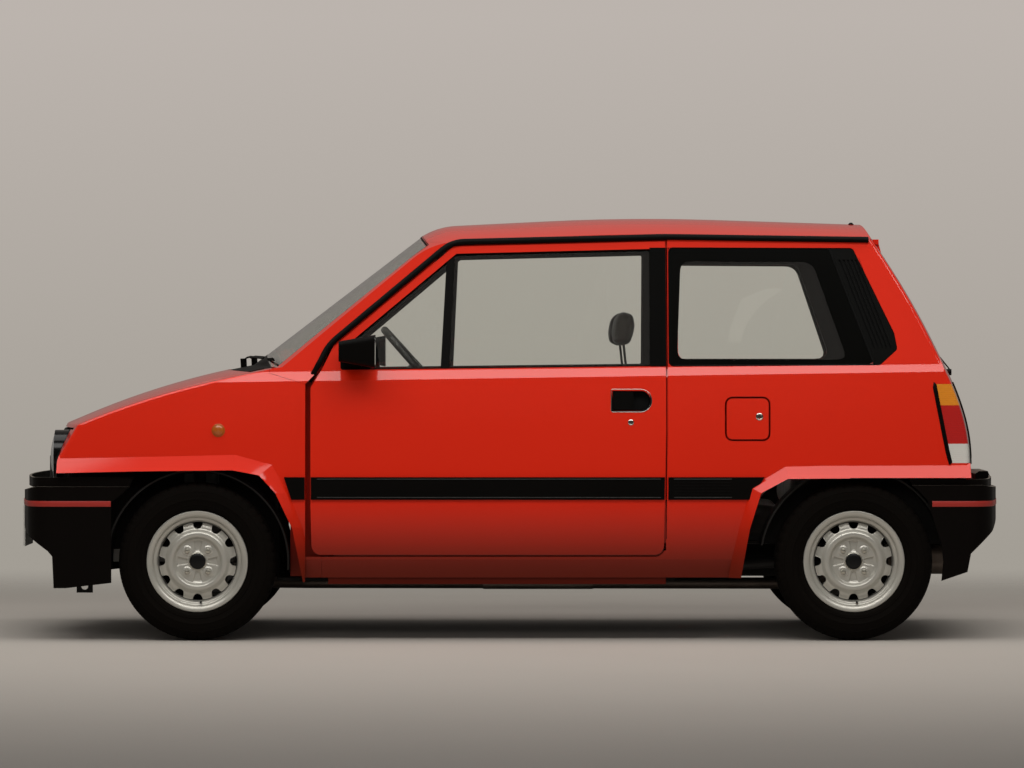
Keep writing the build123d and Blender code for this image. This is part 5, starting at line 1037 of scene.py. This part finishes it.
def tail_lens():
    """Fluted plastic whose colour goes by height, clear at the foot."""
    material = finish("tail_lens", (0.4, 0.02, 0.01), 0.16, mottle=0.05, Coat_Weight=1.0, Coat_Roughness=0.04)
    tree = material.node_tree
    shader = next(n for n in tree.nodes if n.bl_idname == "ShaderNodeBsdfPrincipled")
    place = add(tree, "ShaderNodeTexCoord")
    parts = add(tree, "ShaderNodeSeparateXYZ")
    scale = add(tree, "ShaderNodeMapRange", From_Min=LAMP_FOOT_Z, From_Max=LAMP_FOOT_Z + LAMP_HEIGHT)
    ramp = add(tree, "ShaderNodeValToRGB")
    ramp.color_ramp.interpolation = "CONSTANT"
    low = LAMP_FOOT_Z
    for k, (high, colour) in enumerate(LAMP_BANDS):
        at = (low - LAMP_FOOT_Z) / LAMP_HEIGHT
        element = ramp.color_ramp.elements[0] if k == 0 else ramp.color_ramp.elements.new(at)
        element.position = at
        element.color = (*colour, 1.0)
        low = high
    ramp.color_ramp.elements.remove(ramp.color_ramp.elements[-1])
    flutes = add(tree, "ShaderNodeTexWave", Scale=45.0, bands_direction="Z")
    bump = add(tree, "ShaderNodeBump", Strength=0.25, Distance=0.001)
    link = tree.links.new
    link(place.outputs["Object"], parts.inputs["Vector"])
    link(parts.outputs["Z"], scale.inputs["Value"])
    link(scale.outputs["Result"], ramp.inputs["Fac"])
    link(ramp.outputs["Color"], shader.inputs["Base Color"])
    link(place.outputs["Object"], flutes.inputs["Vector"])
    link(flutes.outputs["Fac"], bump.inputs["Height"])
    link(bump.outputs["Normal"], shader.inputs["Normal"])
    return material


coat(tail_lens(), "tail_lights")


def unrolled(p):
    """The wrapped lens laid flat: along the side, then round onto the tail."""
    return p.x - 0.55 * abs(p.y), p.z


lamp_edge = edge_of("tail_lights", unrolled, lambda p: p.y < 0)
FRAME = [(-0.007, -0.004), (-0.007, 0.0022), (-0.005, 0.0034), (0.005, 0.0034), (0.007, 0.0022),
         (0.007, -0.004)]


def corner_out(p):
    """Outward at the rear left corner: sideways on the flank, backward on the tail."""
    t = smooth_step(0.60, 0.70, -p.y)
    return Vector((1 - t, -t, 0.15)).normalized()


left_and_right("tail_lamp_frame", swept(lamp_edge, FRAME, corner_out), moulded_black, sharp=60)

# ------------------------------------------------------------------ cabin
# Black vinyl dash with a padded top, a moulded steering wheel, and door cards of grained
# vinyl over board, clipped to the doors' inner faces.
dash_vinyl = finish("dash_vinyl", (0.016, 0.015, 0.014), 0.55, grain=0.6, grain_size=0.0018,
                    Specular_IOR_Level=0.3)
wheel_grip = finish("wheel_grip", (0.010, 0.010, 0.0095), 0.42, grain=0.4, grain_size=0.0012)
card_vinyl = finish("door_card_vinyl", (0.016, 0.014, 0.012), 0.5, grain=0.5, grain_size=0.0016)
coat(dash_vinyl, "dashboard", "steering_column")
coat(wheel_grip, "steering_wheel")
card = sheet(skin_tree("door_left"), ((-0.560, 0.370), (0.430, 0.370), (0.430, 0.880), (-0.560, 0.880)),
             20, 30, 0.003, inside=True)
left_and_right("door_card", card, card_vinyl, door_bodies, sharp=50, thickness=0.002)

# ------------------------------------------------------------------ seats
# Foam pads under woven cloth, sewn in channels: a cushion, a back and a head restraint on a
# flat steel post for each front seat, which slides on two rails, and a bench behind them.
seat_cloth = finish("seat_cloth", (0.030, 0.026, 0.022), 0.95, grain=0.9, grain_size=0.0018, mottle=0.2,
                    drift_size=0.02, Sheen_Weight=0.3, Specular_IOR_Level=0.15)
PAD_ENDS = ((0.0, 0.020), (0.008, 0.008), (0.024, 0.001))
FILL_PRESSURE = 4.0
FILL_FRAMES = 20
SEAM_WIDTH = 0.006


def pad_solid(outline, y_low, y_high, radius):
    """A closed pad: an (x, z) outline drawn across, smaller at its two ends."""
    path = rounded(outline, radius, 0.02)
    xs, zs = [p[0] for p in path], [p[1] for p in path]
    mid_x, mid_z = (min(xs) + max(xs)) / 2, (min(zs) + max(zs)) / 2
    half_x, half_z = (max(xs) - min(xs)) / 2, (max(zs) - min(zs)) / 2
    points = []
    rows = [(y_low + y, s) for y, s in PAD_ENDS] + [(y_high - y, s) for y, s in PAD_ENDS[::-1]]
    for y, shrink in rows:
        points += [(mid_x + (x - mid_x) * (1 - shrink / half_x), y,
                    mid_z + (z - mid_z) * (1 - shrink / half_z)) for x, z in path]
    count = len(path)
    faces = grid_faces(len(rows), count)
    faces += [tuple(range(count)), tuple(range(count * (len(rows) - 1), count * len(rows)))]
    return points, faces


def evaluated(piece):
    """A copy of a piece's mesh as its modifiers leave it."""
    bpy.context.view_layer.update()
    return bpy.data.meshes.new_from_object(piece.evaluated_get(bpy.context.evaluated_depsgraph_get()))


def stuffed(solid, voxel, reach, seat_way, seams):
    """Points and faces of a pad blown up as cloth, no point by more than its reach, then sewn in.

    A seam is (the way it is measured, its place that way, its depth), cut on the seat's side.
    """
    mesh = bpy.data.meshes.new("pad")
    mesh.from_pydata(solid[0], [], solid[1])
    work = bmesh.new()
    work.from_mesh(mesh)
    bmesh.ops.recalc_face_normals(work, faces=work.faces)
    work.to_mesh(mesh)
    work.free()
    pad = bpy.data.objects.new("pad", mesh)
    scene.collection.objects.link(pad)
    modifier = pad.modifiers.new("even_mesh", "REMESH")
    modifier.mode = "VOXEL"
    modifier.voxel_size = voxel
    pad.data = evaluated(pad)
    pad.modifiers.clear()
    start = [v.co.copy() for v in pad.data.vertices]
    cloth = pad.modifiers.new("fill", "CLOTH")
    cloth.settings.use_pressure = True
    cloth.settings.uniform_pressure_force = FILL_PRESSURE
    cloth.settings.effector_weights.gravity = 0.0
    cloth.point_cache.frame_start, cloth.point_cache.frame_end = 1, FILL_FRAMES
    for frame_number in range(1, FILL_FRAMES + 1):
        scene.frame_set(frame_number)
    swollen = evaluated(pad)
    pad.modifiers.clear()
    for vertex, first, last in zip(pad.data.vertices, start, swollen.vertices):
        move = last.co - first
        vertex.co = first + move * min(1.0, reach / max(1e-9, move.length))
    scene.frame_set(1)
    pad.modifiers.new("finer", "SUBSURF").levels = 1
    fine = evaluated(pad)
    points = []
    for vertex in fine.vertices:
        seated = smooth_step(0.25, 0.7, vertex.normal.dot(Vector(seat_way)))
        sunk = sum(depth * exp(-((vertex.co.dot(Vector(way)) - place) / SEAM_WIDTH) ** 2)
                   for way, place, depth in seams)
        points.append(vertex.co - vertex.normal * sunk * seated)
    faces = [tuple(p.vertices) for p in fine.polygons]
    bpy.data.objects.remove(pad)
    return points, faces


UP, AFT, ACROSS, FORWARD = (0, 0, 1), (1, 0, 0), (0, 1, 0), (-1, 0, 0)
CUSHION = [(-0.132, 0.315), (0.316, 0.306), (0.290, 0.408), (-0.086, 0.452), (-0.134, 0.408)]
BACKREST = [(0.246, 0.412), (0.338, 0.412), (0.440, 0.900), (0.416, 0.922), (0.384, 0.914)]
HEADREST = [(0.352, 1.003), (0.416, 0.997), (0.430, 1.105), (0.386, 1.114), (0.360, 1.092)]
cushion = stuffed(pad_solid(CUSHION, -0.572, -0.118, 0.040), voxel=0.008, reach=0.022, seat_way=UP,
                  seams=[(ACROSS, -0.475, 0.007), (ACROSS, -0.215, 0.007),
                         (AFT, -0.010, 0.005), (AFT, 0.100, 0.005)])
backrest = stuffed(pad_solid(BACKREST, -0.570, -0.120, 0.030), voxel=0.008, reach=0.016, seat_way=FORWARD,
                   seams=[(ACROSS, -0.475, 0.006), (ACROSS, -0.215, 0.006),
                          (UP, 0.590, 0.005), (UP, 0.700, 0.005), (UP, 0.810, 0.005)])
headrest = stuffed(pad_solid(HEADREST, -0.466, -0.224, 0.025), voxel=0.006, reach=0.009, seat_way=UP,
                   seams=[])
for name, shape, fill in (("seat_cushion", cushion, 0.7), ("seat_back", backrest, 0.75),
                          ("head_restraint", headrest, 0.9)):
    for piece in left_and_right(name, shape, seat_cloth, sharp=180):
        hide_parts("front_seats")
BENCH = [(0.668, 0.336), (0.676, 0.408), (0.704, 0.446), (0.975, 0.426), (0.975, 0.336)]
BENCH_BACK = [(0.956, 0.424), (1.040, 0.410), (1.126, 0.890), (1.088, 0.912), (1.048, 0.888)]
BENCH_HALF = 0.512
bench = stuffed(pad_solid(BENCH, -BENCH_HALF, BENCH_HALF, 0.030), voxel=0.010, reach=0.020, seat_way=UP,
                seams=[(ACROSS, 0.0, 0.006), (AFT, 0.80, 0.005)])
bench_back = stuffed(pad_solid(BENCH_BACK, -BENCH_HALF, BENCH_HALF, 0.030), voxel=0.010, reach=0.014,
                     seat_way=FORWARD, seams=[(ACROSS, 0.0, 0.006), (UP, 0.58, 0.005), (UP, 0.73, 0.005)])
for name, shape in (("rear_cushion", bench), ("rear_back", bench_back)):
    piece = new_piece(name, *shape, seat_cloth, BODY, sharp=180)
    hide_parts("rear_seat")

POST = [(-0.011, -0.004), (-0.011, 0.004), (0.011, 0.004), (0.011, -0.004)]
RUNNER = [(-0.010, 0.0), (-0.010, 0.108), (-0.004, 0.112), (0.004, 0.112), (0.010, 0.108), (0.010, 0.0)]
post_line = [Vector((0.404, -0.345, 0.905)), Vector((0.398, -0.345, 0.960)), Vector((0.392, -0.345, 1.015))]
for piece in left_and_right("restraint_post", swept(post_line, POST, Vector(AFT), closed=False),
                            chassis_black, sharp=30):
    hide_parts("front_seats")
for label, y in (("outer", -0.525), ("inner", -0.165)):
    rail = [Vector((-0.108 + 0.102 * k, y, 0.207)) for k in range(5)]
    rails = swept(rail, RUNNER, Vector(UP), closed=False)
    for piece in left_and_right(f"seat_runner_{label}", rails, chassis_black, sharp=30):
        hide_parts("front_seats")
